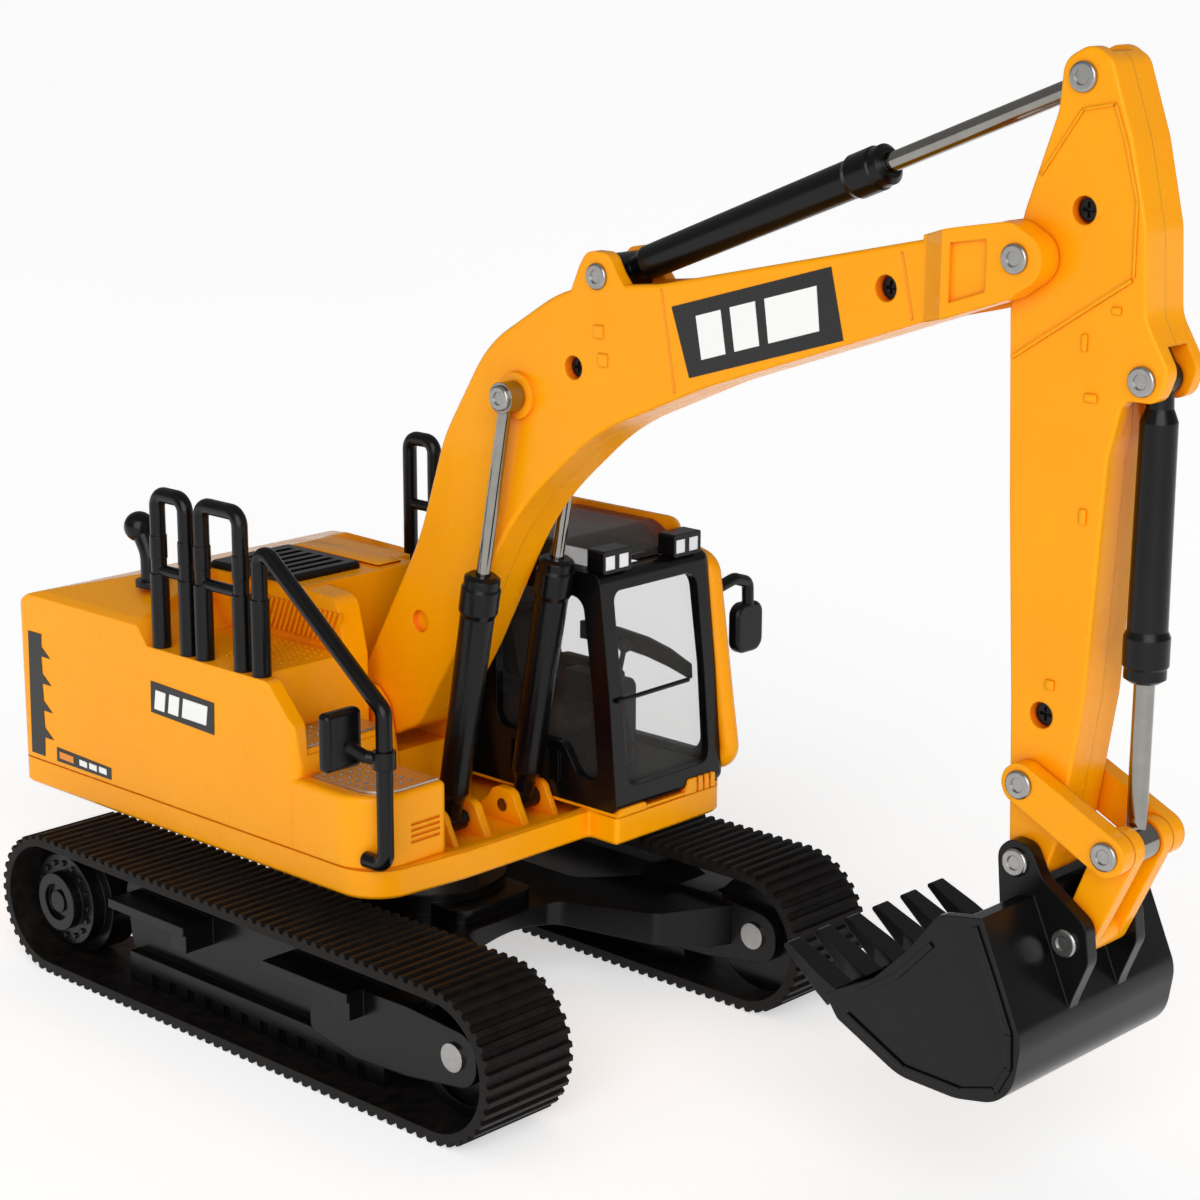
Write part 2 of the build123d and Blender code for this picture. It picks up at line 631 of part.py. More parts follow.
def cab_frame():
    """Black cab frame: pillars, lower panels and roof rim."""
    body = side_slab(cab_section(0), cab_right, cab_left)
    body = fillet(body.edges().filter_by(Axis.Y, reverse=True).group_by(Axis.Y)[-1], 2.0)
    room = side_slab(cab_section(cab_wall), cab_right + cab_wall, cab_left - cab_wall)
    body -= room
    belt_line = 50.5
    right_window = outline([(6, belt_line, 3), (6, cab_head - 5, 3), (cab_front - 9.0, cab_head - 5, 3),
                            (cab_front - 6.4, 62, 4), (cab_front - 4.8, belt_line - 6, 2.5),
                            (cab_front - 10, belt_line - 6, 3), (cab_front - 14, belt_line, 3)])
    left_window = outline([(-9, belt_line + 6, 2), (-9, cab_head - 5, 3), (cab_front - 9.0, cab_head - 5, 3),
                           (cab_front - 6.4, 62, 4), (cab_front - 5.0, cab_sill + 5, 3), (12, cab_sill + 5, 3),
                           (8, belt_line + 6, 3)])
    body -= side_slab(right_window, cab_right - 1, cab_right + 3)
    body -= side_slab(left_window, cab_left - 3, cab_left + 1)
    front_window = outline([(cab_right + 3.4, cab_sill + 4.6, 2.5), (cab_left - 4.6, cab_sill + 4.6, 2.5),
                            (cab_left - 4.6, cab_head - 3.6, 3), (cab_right + 3.4, cab_head - 3.6, 2)])
    body -= front_slab(front_window, cab_front - 8, cab_front + 3)
    rear_window = outline([(cab_right + 5, 60, 2), (cab_left - 5, 60, 2), (cab_left - 5, cab_head - 5, 2),
                           (cab_right + 5, cab_head - 5, 2)])
    body -= front_slab(rear_window, cab_rear - 1, cab_rear + 3)
    roof_hole = flat_slab(outline([(0, cab_right + 4, 2), (cab_front - 8, cab_right + 4, 2),
                                   (cab_front - 8, cab_left - 4, 2), (0, cab_left - 4, 2)]),
                          cab_head - 4, cab_head + 4)
    body -= roof_hole
    for rib in range(5):
        x = 10 + rib * 3.2
        body -= block(x, x + 1.4, cab_right - 1, cab_right + 0.7, 42.5, 48.5)
    return body


parts["cab_sill"] = cab_floor()
parts["cab_frame"] = cab_frame() - parts["cab_sill"]


def cab_windows():
    """Clear panes set just inside the frame openings."""
    gap = cab_wall
    thickness = cab_glass
    right = side_slab(outline([(4.6, 49, 3), (4.6, cab_head - 4, 3), (cab_front - 8.4, cab_head - 4, 3),
                               (cab_front - 5.6, 62, 4), (cab_front - 4.0, 43, 2), (cab_front - 11, 43, 3),
                               (cab_front - 15, 49, 3)]),
                      cab_right + gap, cab_right + gap + thickness)
    left = side_slab(outline([(-10, 55, 2), (-10, cab_head - 4, 3), (cab_front - 8.4, cab_head - 4, 3),
                              (cab_front - 5.6, 62, 4), (cab_front - 4.0, cab_sill + 4, 3),
                              (11, cab_sill + 4, 3), (7, 55, 3)]),
                     cab_left - gap - thickness, cab_left - gap)
    screen = side_slab(cab_section(gap), cab_right + gap + thickness + 0.3, cab_left - gap - thickness - 0.3)
    screen -= side_slab(cab_section(gap + thickness), 0, 60)
    screen &= block(cab_front - 8, cab_front + 3, 0, 60, cab_sill + 3, cab_head - 2.6)
    rear = block(cab_rear + gap, cab_rear + gap + thickness, cab_right + 4, cab_left - 4, 58.5, cab_head - 4)
    return Compound(children=[pane - parts["cab_frame"] for pane in (right, left, screen, rear)])


parts["cab_windows"] = cab_windows()


roof_block_x = 1.0


def cab_roof():
    """Yellow roof cap: a block at the rear and a rim along the left of the skylight."""
    roof = flat_slab(outline([(cab_rear + 0.5, cab_right + 0.6, 3), (cab_front - 9.0, cab_right + 0.6, 3),
                              (cab_front - 9.0, cab_left - 1.4, 4), (cab_rear + 0.5, cab_left - 1.4, 4)]),
                     cab_head, cab_head + 6.0)
    roof = fillet(roof.faces().sort_by(Axis.Z)[-1].edges(), 2.6)
    opening = flat_slab(outline([(roof_block_x, cab_right - 1), (cab_front, cab_right - 1),
                                 (cab_front, cab_left - 4.6), (roof_block_x, cab_left - 4.6, 2)]),
                        cab_head - 1, cab_head + 9)
    return roof - opening


def skylight():
    pane = outline([(roof_block_x + 0.4, cab_right + 1.0, 1.6), (cab_front - 9.2, cab_right + 1.0, 1.6),
                    (cab_front - 9.2, cab_left - 4.9, 1.6), (roof_block_x + 0.4, cab_left - 4.9, 1.6)])
    lid = flat_slab(pane, cab_head, cab_head + 5.0)
    slope = side_slab(outline([(0, cab_head + 5.2), (cab_front - 15, cab_head + 5.2, 8),
                               (cab_front - 8.4, cab_head + 0.8), (cab_front, cab_head - 4),
                               (cab_front, 99), (0, 99)]), 0, 60)
    inner_x = roof_block_x + 1.6
    hollow = side_slab(outline([(inner_x, cab_head - 1), (inner_x, cab_head + 4.0, 1),
                                (cab_front - 15.6, cab_head + 4.0, 7), (cab_front - 11.4, cab_head - 1)]),
                       cab_right + 2.2, cab_left - 6.1)
    return lid - slope - hollow


parts["cab_roof"] = cab_roof()
parts["cab_skylight"] = skylight()


housing_width = 7.6
housing_starts = (cab_right + 0.8, cab_left - 3.4 - housing_width)
lamp_size = 2.7


def lamp_openings():
    """Low Y edge of each of the four lamps."""
    return [start + offset for start in housing_starts for offset in (0.6, 4.3)]


def lamp_block(y, depth_front):
    front = cab_front - 4.4
    return block(front - 1.6, front + depth_front, y, y + lamp_size, cab_head + 0.6, cab_head + 0.6 + lamp_size)


def lamp_housings():
    housings = []
    for start in housing_starts:
        shell = block(cab_front - 8.6, cab_front - 4.4, start, start + housing_width, cab_head, cab_head + 4.4)
        shell = fillet(shell.edges().filter_by(Axis.X), 0.5)
        for y in lamp_openings():
            shell -= lamp_block(y, 1)
        housings.append(shell)
    return Compound(children=housings)


def lamps():
    return Compound(children=[lamp_block(y, -0.2) for y in lamp_openings()])


parts["cab_lamp_housings"] = lamp_housings()
parts["cab_lamps"] = lamps()


guard_diameter = 4.0


def guard_tube():
    y = cab_left + 0.8
    tube = bent_tube([(cab_front - 13, y, 83.4), (cab_front - 5.6, y, 81.6), (cab_front - 1.6, y, 55),
                      (cab_front + 0.2, y, 44.0), (cab_front - 5, y, 41.6)], 3.2, guard_diameter)
    return tube - parts["cab_frame"] - parts["cab_sill"]


parts["cab_guard_tube"] = guard_tube()


def left_mirror():
    x, y = cab_front - 4.8, cab_left + 2.0
    arm = bent_tube([(x, y, 76.5), (x + 0.6, y + 4.4, 77.8), (x + 0.4, y + 8.8, 76.4),
                     (x + 0.4, y + 9.0, 71.0)], 1.6, 2.4)
    head = block(x - 1.2, x + 1.6, y + 4.6, y + 12.6, 62.2, 72.4)
    head = fillet(head.edges().filter_by(Axis.X), 2.6)
    head = fillet(head.edges().filter_by(Plane.YZ), 0.9)
    return arm + head - parts["cab_guard_tube"]


parts["left_mirror"] = left_mirror()


def seat():
    y = (cab_right + cab_left) / 2
    cushion = fillet(block(2, 16, y - 6.5, y + 6.5, 47.5, 51.5).edges(), 1.4)
    back = side_slab(outline([(0.5, 50, 1), (-3.4, 69, 1.4), (0.4, 69.5, 1.4), (4.4, 51, 1)]), y - 6.2, y + 6.2)
    head = side_slab(outline([(-4.2, 70, 1), (-5.2, 75.6, 1), (-2.4, 76, 1), (-1.0, 70, 1)]), y - 3.4, y + 3.4)
    base = block(3, 13, y - 4.6, y + 4.6, 43.0, 47.6)
    link = side_slab(outline([(-3.4, 67), (-4.4, 72), (-2.4, 72), (-0.6, 67)]), y - 2, y + 2)
    return cushion + back + head + base + link


pod_y = (cab_left - cab_right) / 2 - 5.3


def console():
    y = (cab_right + cab_left) / 2
    floor = block(cab_rear + 2.2, cab_front - 3.4, cab_right + 2.9, cab_left - 2.9, cab_sill + cab_wall, 43.0)
    pods = []
    for low, high in ((y - pod_y - 2.1, y - pod_y + 2.1), (y + pod_y - 2.1, y + pod_y + 2.1)):
        pods.append(fillet(block(0, 17, low, high, 42.0, 56).edges().filter_by(Axis.Y), 1.6))
    dash = side_slab(outline([(cab_front - 12, 42.5), (cab_front - 10.4, 56, 1), (cab_front - 7.4, 57.5, 1),
                              (cab_front - 6.2, 42.5)]), cab_right + 4, cab_right + 10)
    return floor + pods[0] + pods[1] + dash - parts["cab_frame"]


def levers():
    """Two joysticks on the side pods and two travel levers on the floor."""
    y = (cab_right + cab_left) / 2
    sticks = []
    for side in (-1, 1):
        joystick = rod_between((14, y + side * pod_y, 56), (15.5, y + side * pod_y, 62), 1.1)
        joystick += Pos(15.8, y + side * pod_y, 63) * Sphere(1.4)
        travel = rod_between((26, y + side * 2.2, 43.0), (22, y + side * 2.2, 60), 1.1)
        travel += Pos(22, y + side * 2.2, 60) * Sphere(1.1)
        sticks += [joystick, travel]
    return Compound(children=[stick - parts["cab_console"] for stick in sticks])


parts["cab_console"] = console()
parts["cab_seat"] = seat() - parts["cab_console"]
parts["cab_levers"] = levers()
wiper_start = (cab_front - 1.5, cab_right + 1.6, 60.9)
wiper_end = (cab_front - 1.5, cab_left - 9.8, 61.1)
parts["cab_wiper"] = rod_between(wiper_start, wiper_end, 0.9) - parts["cab_frame"]


# ---- boom ----------------------------------------------------------------
def half_shell_pair(solid, hollow):
    """Split a hollowed form on the middle plane into a left and a right half."""
    shell = solid - hollow
    big = 400
    left = shell & (Pos(0, big / 2, 0) * Box(2 * big, big, 2 * big))
    right = shell & (Pos(0, -big / 2, 0) * Box(2 * big, big, 2 * big))
    return left, right


def boom_outline(inset):
    """Goose-neck boom seen from the side, without its tip ears."""
    fx, fz = boom_foot
    outer = [(fx - 4.4, fz - 1.0, 3.2), (fx - 3.4, fz + 6.5, 10), (6.6, 91, 60), (13.6, 111.5, 30),
             (25, 129.5, 26), (44.5, 141.4, 30), (66, 143.8, 20), (126.5, 157.0),
             (126.5, 145.0), (76, 127.4, 60), (51, 116.5, 50), (31, 99, 60), (15.5, 70, 60),
             (5.6, 54.5, 6), (fx + 4.2, fz - 4.6, 3)]
    if inset == 0:
        return outline(outer)
    return offset(outline(outer), amount=-inset)


boom_screws_at = [(46.6, 127.6), (113.6, 147.6)]
pocket_at = (6.7, 75.1)


def boom():
    neck = side_slab(boom_outline(0), -boom_half, boom_half)
    rims = neck.edges().filter_by(Plane.XZ).group_by(Axis.Y)
    neck = fillet(rims[0] + rims[-1], 0.7)
    px, pz = arm_pivot
    ear = outline([(120.5, 156.4), (127.5, 158.2, 2), (px - 1, pz + 5.4, 4), (px + 4.6, pz + 2.4, 4.2),
                   (px + 4.6, pz - 2.4, 4.2), (px - 1, pz - 6.2, 4), (127.5, 144.6, 2), (120.5, 142.9)])
    near_ear = side_slab(ear, ear_inner, ear_outer)
    trim = flat_slab(outline([(110, boom_half), (121.0, boom_half), (126.5, ear_outer), (160, ear_outer),
                              (160, 20), (110, 20)]), 100, 200)
    near_ear -= trim
    near_ear -= side_slab(offset(ear, amount=-2.2, kind=Kind.INTERSECTION)
                          & outline([(128, 100), (px - 5.2, 100), (px - 5.2, 200), (128, 200)]),
                          ear_outer - 0.7, ear_outer + 1)
    solid = neck + near_ear + mirror_y(near_ear)
    # bracket on top for the base of the arm cylinder
    bx, bz = arm_cylinder_base
    bracket = outline([(bx - 8.5, bz - 8), (bx - 4.2, bz + 1.5, 3), (bx - 2.4, bz + 4.2, 2.6),
                       (bx + 2.6, bz + 4.2, 2.6), (bx + 4.4, bz + 1.0, 3), (bx + 8.5, bz - 4)])
    plate = side_slab(bracket, boom_half - 2.4, boom_half)
    solid += plate + mirror_y(plate)
    # round bosses beside the boom rod eyes
    ex, ez = boom_rod_eye
    boss = cross_pin((ex, ez), 8.4, boom_half - 0.5, cylinder_y - 1.9)
    solid += boss + mirror_y(boss)
    trough = outline([(bx - 4, bz - 5.5), (bx + 2, bz - 5.5), (bx + 24, bz + 3.4), (bx + 24, bz + 30), (bx - 4, bz + 30)])
    hollow = side_slab(boom_outline(boom_wall), -boom_half + boom_wall, boom_half - boom_wall)
    hollow -= side_slab(Pos(0, -boom_wall) * trough, -boom_half, boom_half)
    for place in boom_screws_at + [boom_foot, (ex, ez)]:
        hollow -= cross_pin(place, 5.4, -boom_half, boom_half)
    left, right = half_shell_pair(solid, hollow)
    arm_room = cross_pin(arm_pivot, 26, -ear_inner, ear_inner)
    barrel_room = side_slab(trough, -boom_half + 2.4, boom_half - 2.4)
    barrel_room += cross_pin((bx, bz), 13.5, -boom_half + 2.4, boom_half - 2.4)
    pin_bores = [cross_pin(place, pin_diameter + bore_clearance, -99, 99) for place in (boom_foot,)]
    pin_bores += [cross_pin(place, pin_diameter, -99, 99) for place in (arm_pivot, (bx, bz))]
    for cutter in [arm_room, barrel_room] + pin_bores:
        left -= cutter
        right -= cutter
    for place in boom_screws_at:
        right -= cross_pin(place, screw_head + 0.8, -boom_half - 1, -boom_half + 2.6)
        right -= cross_pin(place, 1.8, -boom_half - 1, 1)
        left -= cross_pin(place, 1.8, -1, 3.0)
    right -= cross_pin(pocket_at, 4.2, -boom_half - 1, -boom_half + 1.2)
    for low_x in (51.6, 52.6):
        place_z = 133.4 if low_x < 52 else 128.6
        peg = block(low_x, low_x + 2.2, -boom_half - 0.35, -boom_half + 0.4, place_z, place_z + 2.2)
        right += peg
    for top, bottom in (((66.8, 143.0), (70.0, 126.0)), ((116.4, 153.4), (118.8, 143.2))):
        groove = rod_between((top[0], -boom_half, top[1]), (bottom[0], -boom_half, bottom[1]), 0.6)
        right -= groove
        left -= mirror_y(groove)
    return left, right


parts["boom_shell_left"], parts["boom_shell_right"] = boom()
parts["boom_screws"] = Compound(children=[screw(place, -boom_half + 2.6 - 1.2, 7.0) for place in boom_screws_at])
parts["arm_pivot_pin"] = through_rivet(arm_pivot, ear_outer)
parts["arm_cylinder_base_pin"] = Compound(children=split_rivet(arm_cylinder_base, boom_half, boom_half - 2.4))


# ---- cylinders -----------------------------------------------------------
def along(start, end, stations, centre_y):
    """Turned body on the line from start to end: (distance, radius) stations."""
    axis = Vector(end[0] - start[0], 0, end[1] - start[1])
    profile = [(0, stations[0][0])] + [(radius, at) for at, radius in stations] + [(0, stations[-1][0])]
    turned = revolve(Plane.XZ * make_face(Polyline(*profile, close=True)), axis=Axis.Z)
    place = Plane((start[0], centre_y, start[1]), x_dir=(0, 1, 0), z_dir=axis)
    return place * turned


def barrel(start, end, length, diameter, bore, centre_y, foot_width, foot_radius):
    """Cylinder barrel with a collar and cap at the rod end and an eye at its foot."""
    r = diameter / 2
    body = along(start, end, [(3.2, 1.6), (6.5, r - 0.35), (length - 8, r - 0.1), (length - 7, r + 0.35),
                              (length - 2.6, r + 0.35), (length - 2.2, r + 0.05), (length - 0.6, r + 0.05),
                              (length, r - 0.8)], centre_y)
    foot = cross_pin(start, 2 * foot_radius, centre_y - foot_width / 2, centre_y + foot_width / 2)
    neck = along(start, end, [(0.0, 1.9), (6.8, 2.2)], centre_y)
    solid = body + foot + neck
    return solid - bore


def rod(start, end, inside, diameter, centre_y, eye_width, eye_diameter):
    """Chrome rod from inside the barrel to an eye round the end pivot."""
    span = hypot(end[0] - start[0], end[1] - start[1])
    shaft = along(start, end, [(inside, diameter / 2), (span - eye_diameter / 2 + 0.6, diameter / 2)], centre_y)
    eye = cross_pin(end, eye_diameter, centre_y - eye_width / 2, centre_y + eye_width / 2)
    return shaft + eye


def boom_cylinder(centre_y):
    start, end = boom_cylinder_foot, boom_rod_eye
    length = 50.0
    bore = along(start, end, [(12, boom_rod_diameter / 2 + bore_clearance),
                              (length + 1, boom_rod_diameter / 2 + bore_clearance)], centre_y)
    tube = barrel(start, end, length, boom_barrel_diameter, bore, centre_y, 5.4, 2.1)
    shaft = rod(start, end, 28.0, boom_rod_diameter, centre_y, 3.2, 5.6)
    return tube, shaft


def boom_rod_rivet(side):
    face = cylinder_y + 1.6
    return rivet(boom_rod_eye, side, face)


tube, shaft = boom_cylinder(cylinder_y)
parts["boom_cylinder_barrels"] = Compound(children=[tube, mirror_y(tube)])
parts["boom_cylinder_rods"] = Compound(children=[shaft, mirror_y(shaft)])
parts["boom_rod_rivets"] = Compound(children=[boom_rod_rivet(1), boom_rod_rivet(-1)])


def foot_pin_stubs():
    """Short pins in the clevis ears of both boom cylinder feet."""
    stubs = []
    for low, high in clevis_ears:
        stub = cross_pin(boom_cylinder_foot, pin_diameter, low, high)
        stubs += [stub, mirror_y(stub)]
    return Compound(children=stubs)


parts["boom_cylinder_foot_pins"] = foot_pin_stubs()

arm_barrel_length = 61.0
bore = along(arm_cylinder_base, arm_rod_eye,
             [(14, arm_rod_diameter / 2 + bore_clearance),
              (arm_barrel_length + 1, arm_rod_diameter / 2 + bore_clearance)], 0)
arm_tube = barrel(arm_cylinder_base, arm_rod_eye, arm_barrel_length, arm_barrel_diameter, bore, 0, 7.4, 3.6)
parts["arm_cylinder_barrel"] = arm_tube
arm_rod = rod(arm_cylinder_base, arm_rod_eye, 44.0, arm_rod_diameter, 0, 3.6, 5.8)
parts["arm_cylinder_rod"] = arm_rod - cross_pin(arm_rod_eye, pin_diameter + bore_clearance, -9, 9)

bucket_barrel_length = 46.0
bore = along(bucket_cylinder_base, rocker_end,
             [(12, bucket_rod_diameter / 2 + bore_clearance),
              (bucket_barrel_length + 1, bucket_rod_diameter / 2 + bore_clearance)], 0)
parts["bucket_cylinder_barrel"] = barrel(bucket_cylinder_base, rocker_end, bucket_barrel_length,
                                         bucket_barrel_diameter, bore, 0, 3.4, 2.6)
bucket_rod = rod(bucket_cylinder_base, rocker_end, 30.0, bucket_rod_diameter, 0, 4.4, 6.0)
bucket_rod -= cross_pin(rocker_end, pin_diameter + bore_clearance, -9, 9)
parts["bucket_cylinder_rod"] = bucket_rod


# ---- arm -----------------------------------------------------------------
arm_screws_at = [(148.1, 162.0), (144.6, 85.0)]


def arm_outline():
    ax, az = arm_rod_eye
    bx, bz = bucket_cylinder_base
    lx, lz = bucket_pivot
    return [(ax - 3.6, az + 2.4, 3.4), (ax + 1.0, az + 4.8, 3.2), (ax + 4.6, az + 2.6, 3),
            (155.6, 172.5, 12), (158.6, 160, 10), (159.4, 147, 6), (bx + 4.4, bz + 1.6, 3),
            (bx + 2.6, bz - 3.2, 2.6), (bx - 3.2, bz - 3.2, 2), (154.0, 126, 10), (152.0, 88.5, 20),
            (148.6, 66, 4), (lx + 3.0, lz - 3.4, 3), (lx - 3.2, lz - 2.2, 2.6), (138.8, 86, 60),
            (137.0, 117.5, 60), (135.7, 146.5, 20), (137.2, 160, 20), (ax - 4.2, az - 5, 8)]


def arm():
    face = outline(arm_outline())
    stick = side_slab(face, -arm_half, arm_half)
    rims = stick.edges().filter_by(Plane.XZ).group_by(Axis.Y)
    stick = fillet(rims[0] + rims[-1], 0.5)
    inside = offset(face, amount=-3.0, kind=Kind.INTERSECTION)
    hollow = side_slab(inside, -arm_half + boom_wall, arm_half - boom_wall)
    bosses = arm_screws_at + [arm_pivot, rocker_pivot, bucket_pivot]
    for place in bosses:
        hollow -= cross_pin(place, 5.4, -arm_half, arm_half)
    left, right = half_shell_pair(stick, hollow)
    ax, az = arm_rod_eye
    bx, bz = bucket_cylinder_base
    rod_slot = side_slab(outline([(ax - 30, az - 9.5), (ax + 1.5, az - 9.5, 5), (ax + 3.2, az + 1, 4),
                                  (ax + 2, az + 9), (ax - 30, az + 9)]), -2.6, 2.6)
    barrel_slot = side_slab(outline([(bx - 4.6, bz - 14), (bx - 4.6, bz + 3.0, 3), (bx + 1.4, bz + 5.0, 3),
                                     (bx + 12, bz + 5.0), (bx + 12, bz - 14)]), -2.6, 2.6)
    bores = [cross_pin(place, pin_diameter, -99, 99)
             for place in (arm_rod_eye, bucket_cylinder_base, rocker_pivot, bucket_pivot)]
    bores.append(cross_pin(arm_pivot, pin_diameter + bore_clearance, -99, 99))
    for cutter in [rod_slot, barrel_slot] + bores:
        left -= cutter
        right -= cutter
    for place in arm_screws_at:
        right -= cross_pin(place, screw_head + 0.8, -arm_half - 1, -arm_half + 2.4)
        right -= cross_pin(place, 1.8, -arm_half - 1, 1)
        left -= cross_pin(place, 1.8, -1, 3.0)
    return left, right


parts["arm_shell_left"], parts["arm_shell_right"] = arm()
parts["arm_screws"] = Compound(children=[screw(place, -arm_half + 2.4 - 1.2, 6.0) for place in arm_screws_at])


coupler_eye = 5.8
link_inner = arm_half + 0.3
link_outer = link_inner + 3.0
bucket_ear_inner = arm_half + 0.35
bucket_ear_outer = bucket_ear_inner + 2.4
parts["arm_eye_rivets"] = Compound(children=[through_rivet(arm_rod_eye, arm_half)]
                                   + split_rivet(bucket_cylinder_base, arm_half, 2.6))
parts["arm_link_pins"] = Compound(children=[through_rivet(rocker_pivot, link_outer),
                                            through_rivet(bucket_pivot, bucket_ear_outer)])


# ---- bucket linkage ------------------------------------------------------
def link_profile(start, end, start_radius, end_radius):
    """Flat link with round ends about two pivots."""
    angle = atan2(end[1] - start[1], end[0] - start[0])
    normal = (-sin(angle), cos(angle))
    corners = []
    for place, radius, sign in ((start, start_radius, 1), (end, end_radius, 1),
                                (end, end_radius, -1), (start, start_radius, -1)):
        corners.append((place[0] + sign * radius * normal[0], place[1] + sign * radius * normal[1]))
    web = make_face(Polyline(*corners, close=True))
    return web + Pos(*start) * Circle(start_radius) + Pos(*end) * Circle(end_radius)


def rocker():
    """H-shaped rocker: two side links and one cross web above the bucket rod eye."""
    plate = side_slab(link_profile(rocker_pivot, rocker_end, 3.3, 3.4), link_inner, link_outer)
    link = plate + mirror_y(plate)
    link -= cross_pin(rocker_pivot, pin_diameter + bore_clearance, -99, 99)
    return link - cross_pin(rocker_end, pin_diameter, -99, 99)


def coupler():
    """H-shaped coupler from the rocker end down to the bucket."""
    inner = 2.6
    plate = side_slab(link_profile(rocker_end, bucket_link_pivot, 3.4, coupler_eye / 2), inner, link_inner - 0.3)
    tube_piece = cross_pin(bucket_link_pivot, coupler_eye, -link_inner + 0.3, link_inner - 0.3)
    link = plate + mirror_y(plate) + tube_piece
    link -= cross_pin(rocker_end, pin_diameter + bore_clearance, -99, 99)
    return link - cross_pin(bucket_link_pivot, pin_diameter + 1.6, -99, 99)


parts["bucket_rocker"] = rocker()
parts["bucket_coupler"] = coupler()
parts["rocker_end_pin"] = through_rivet(rocker_end, link_outer)
parts["bucket_link_pin"] = through_rivet(bucket_link_pivot, bucket_ear_outer)

# ---- bucket --------------------------------------------------------------
mouth_top = (146.6, 57.0)
lip = (117.0, 36.6)


def bucket_section():
    """Side outline of the bucket, closed across its mouth."""
    return outline([mouth_top, (150.4, 48.5, 8), (154.6, 39, 7), (153.0, 28.6, 7), (143.0, 26.6, 12),
                    (132.0, 27.0, 10), (119.6, 33.0, 2), (lip[0], lip[1]), (126.4, 41.6, 3),
                    (133.2, 48.4, 8), (138.6, 55.6, 3)])


def bucket():
    section = bucket_section()
    solid = side_slab(section, -bucket_half, bucket_half)
    inside = offset(section, amount=-bucket_wall, kind=Kind.INTERSECTION)
    hollow = side_slab(inside, -bucket_half + bucket_wall, bucket_half - bucket_wall)
    mouth = outline([(mouth_top[0] - 1.6, mouth_top[1] - 2.0), (136.4, 49.2), (131.2, 43.4), (127.2, 39.4), (124.6, 37.8),
                     (lip[0] + 1.6, lip[1] - 1.0), (100, 50), (130, 75)])
    hollow += side_slab(mouth, -bucket_half + bucket_wall, bucket_half - bucket_wall)
    shell = solid - hollow
    px, pz = bucket_pivot
    qx, qz = bucket_link_pivot
    ear = outline([(px - 2.6, 54.0), (px - 3.4, pz + 1.4, 3), (px - 1.2, pz + 3.6, 2.6), (px + 2.4, pz + 3.2, 2.6),
                   (px + 5.0, pz - 1.6, 5), (qx + 3.6, qz + 3.6, 3), (qx + 4.4, qz - 2.4, 3),
                   (154.4, 42.0, 6), (152.6, 36), (148.8, 50), (146.4, 55.4)])
    plate = side_slab(ear, bucket_ear_inner, bucket_ear_outer)
    shell += plate + mirror_y(plate)
    shell -= cross_pin(bucket_pivot, pin_diameter + bore_clearance, -20, 20)
    # room for the eye of the coupler, which sinks a little as the bucket curls
    shell -= cross_pin((qx, qz - 0.5), coupler_eye + 0.7, -link_inner, link_inner)
    return shell - cross_pin(bucket_link_pivot, pin_diameter, -20, 20)


def bucket_teeth():
    """Row of cast teeth on the bucket lip, pointing forward and up."""
    tooth_width = 4.6
    pitch = (2 * bucket_half - tooth_width) / (tooth_count - 1)
    profile = outline([(lip[0] + 0.6, lip[1] - 2.0), (lip[0] + 2.2, lip[1] + 1.2), (lip[0] - 8.4, lip[1] + 6.2, 0.6),
                       (lip[0] - 9.6, lip[1] + 5.4, 0.4)])
    teeth = []
    for index in range(tooth_count):
        y = -bucket_half + index * pitch
        plan = outline([(lip[0] + 4, y), (lip[0] + 4, y + tooth_width), (lip[0] - 2, y + tooth_width),
                        (lip[0] - 9.8, y + tooth_width - 0.9), (lip[0] - 9.8, y + 0.9), (lip[0] - 2, y)])
        teeth.append(side_slab(profile, y, y + tooth_width) & flat_slab(plan, lip[1] - 4, lip[1] + 9))
    return teeth


bucket_shell = bucket()
teeth = [tooth - bucket_shell for tooth in bucket_teeth()]
parts["bucket_shell"] = bucket_shell
parts["bucket_teeth"] = Compound(children=teeth)

os.makedirs("parts", exist_ok=True)
for name, shape in parts.items():
    export_step(shape, "parts/" + name + ".step")
print(len(parts), "parts written")
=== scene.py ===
import math

import bmesh
import bpy
from mathutils import Matrix, Vector


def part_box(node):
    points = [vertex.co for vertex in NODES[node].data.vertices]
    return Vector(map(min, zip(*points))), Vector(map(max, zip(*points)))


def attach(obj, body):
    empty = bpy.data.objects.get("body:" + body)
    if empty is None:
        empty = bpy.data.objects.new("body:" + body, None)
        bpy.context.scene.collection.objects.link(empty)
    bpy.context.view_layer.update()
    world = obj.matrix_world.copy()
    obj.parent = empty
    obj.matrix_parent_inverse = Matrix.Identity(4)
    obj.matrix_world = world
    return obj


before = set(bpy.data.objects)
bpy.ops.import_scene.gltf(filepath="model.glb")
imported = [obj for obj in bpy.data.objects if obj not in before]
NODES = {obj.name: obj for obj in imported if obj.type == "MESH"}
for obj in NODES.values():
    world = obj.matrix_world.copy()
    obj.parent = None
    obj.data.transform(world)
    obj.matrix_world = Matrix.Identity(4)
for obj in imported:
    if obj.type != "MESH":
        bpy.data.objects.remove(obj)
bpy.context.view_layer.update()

bl_info = {
    "name": "Toy Excavator",
    "version": (1, 0, 0),
    "blender": (4, 5, 0),
    "location": "3D View > Sidebar > Toy Excavator",
    "description": "Finishes, printed panels and small mouldings of a 1:32 toy excavator on its CAD frame",
    "category": "Object",
}

MM = 0.001

# Faces that details stand on, read from the frame, in millimetres.
SIDE_FACE = -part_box("body_shell")[0].y / MM
BUCKET_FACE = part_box("bucket_shell")[1].y / MM
HOOD_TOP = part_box("hood_grille")[0].z / MM
CAB_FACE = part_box("cab_frame")[1].y / MM
ARM_FACE = 5.2
BOOM_SIDE = 6.6


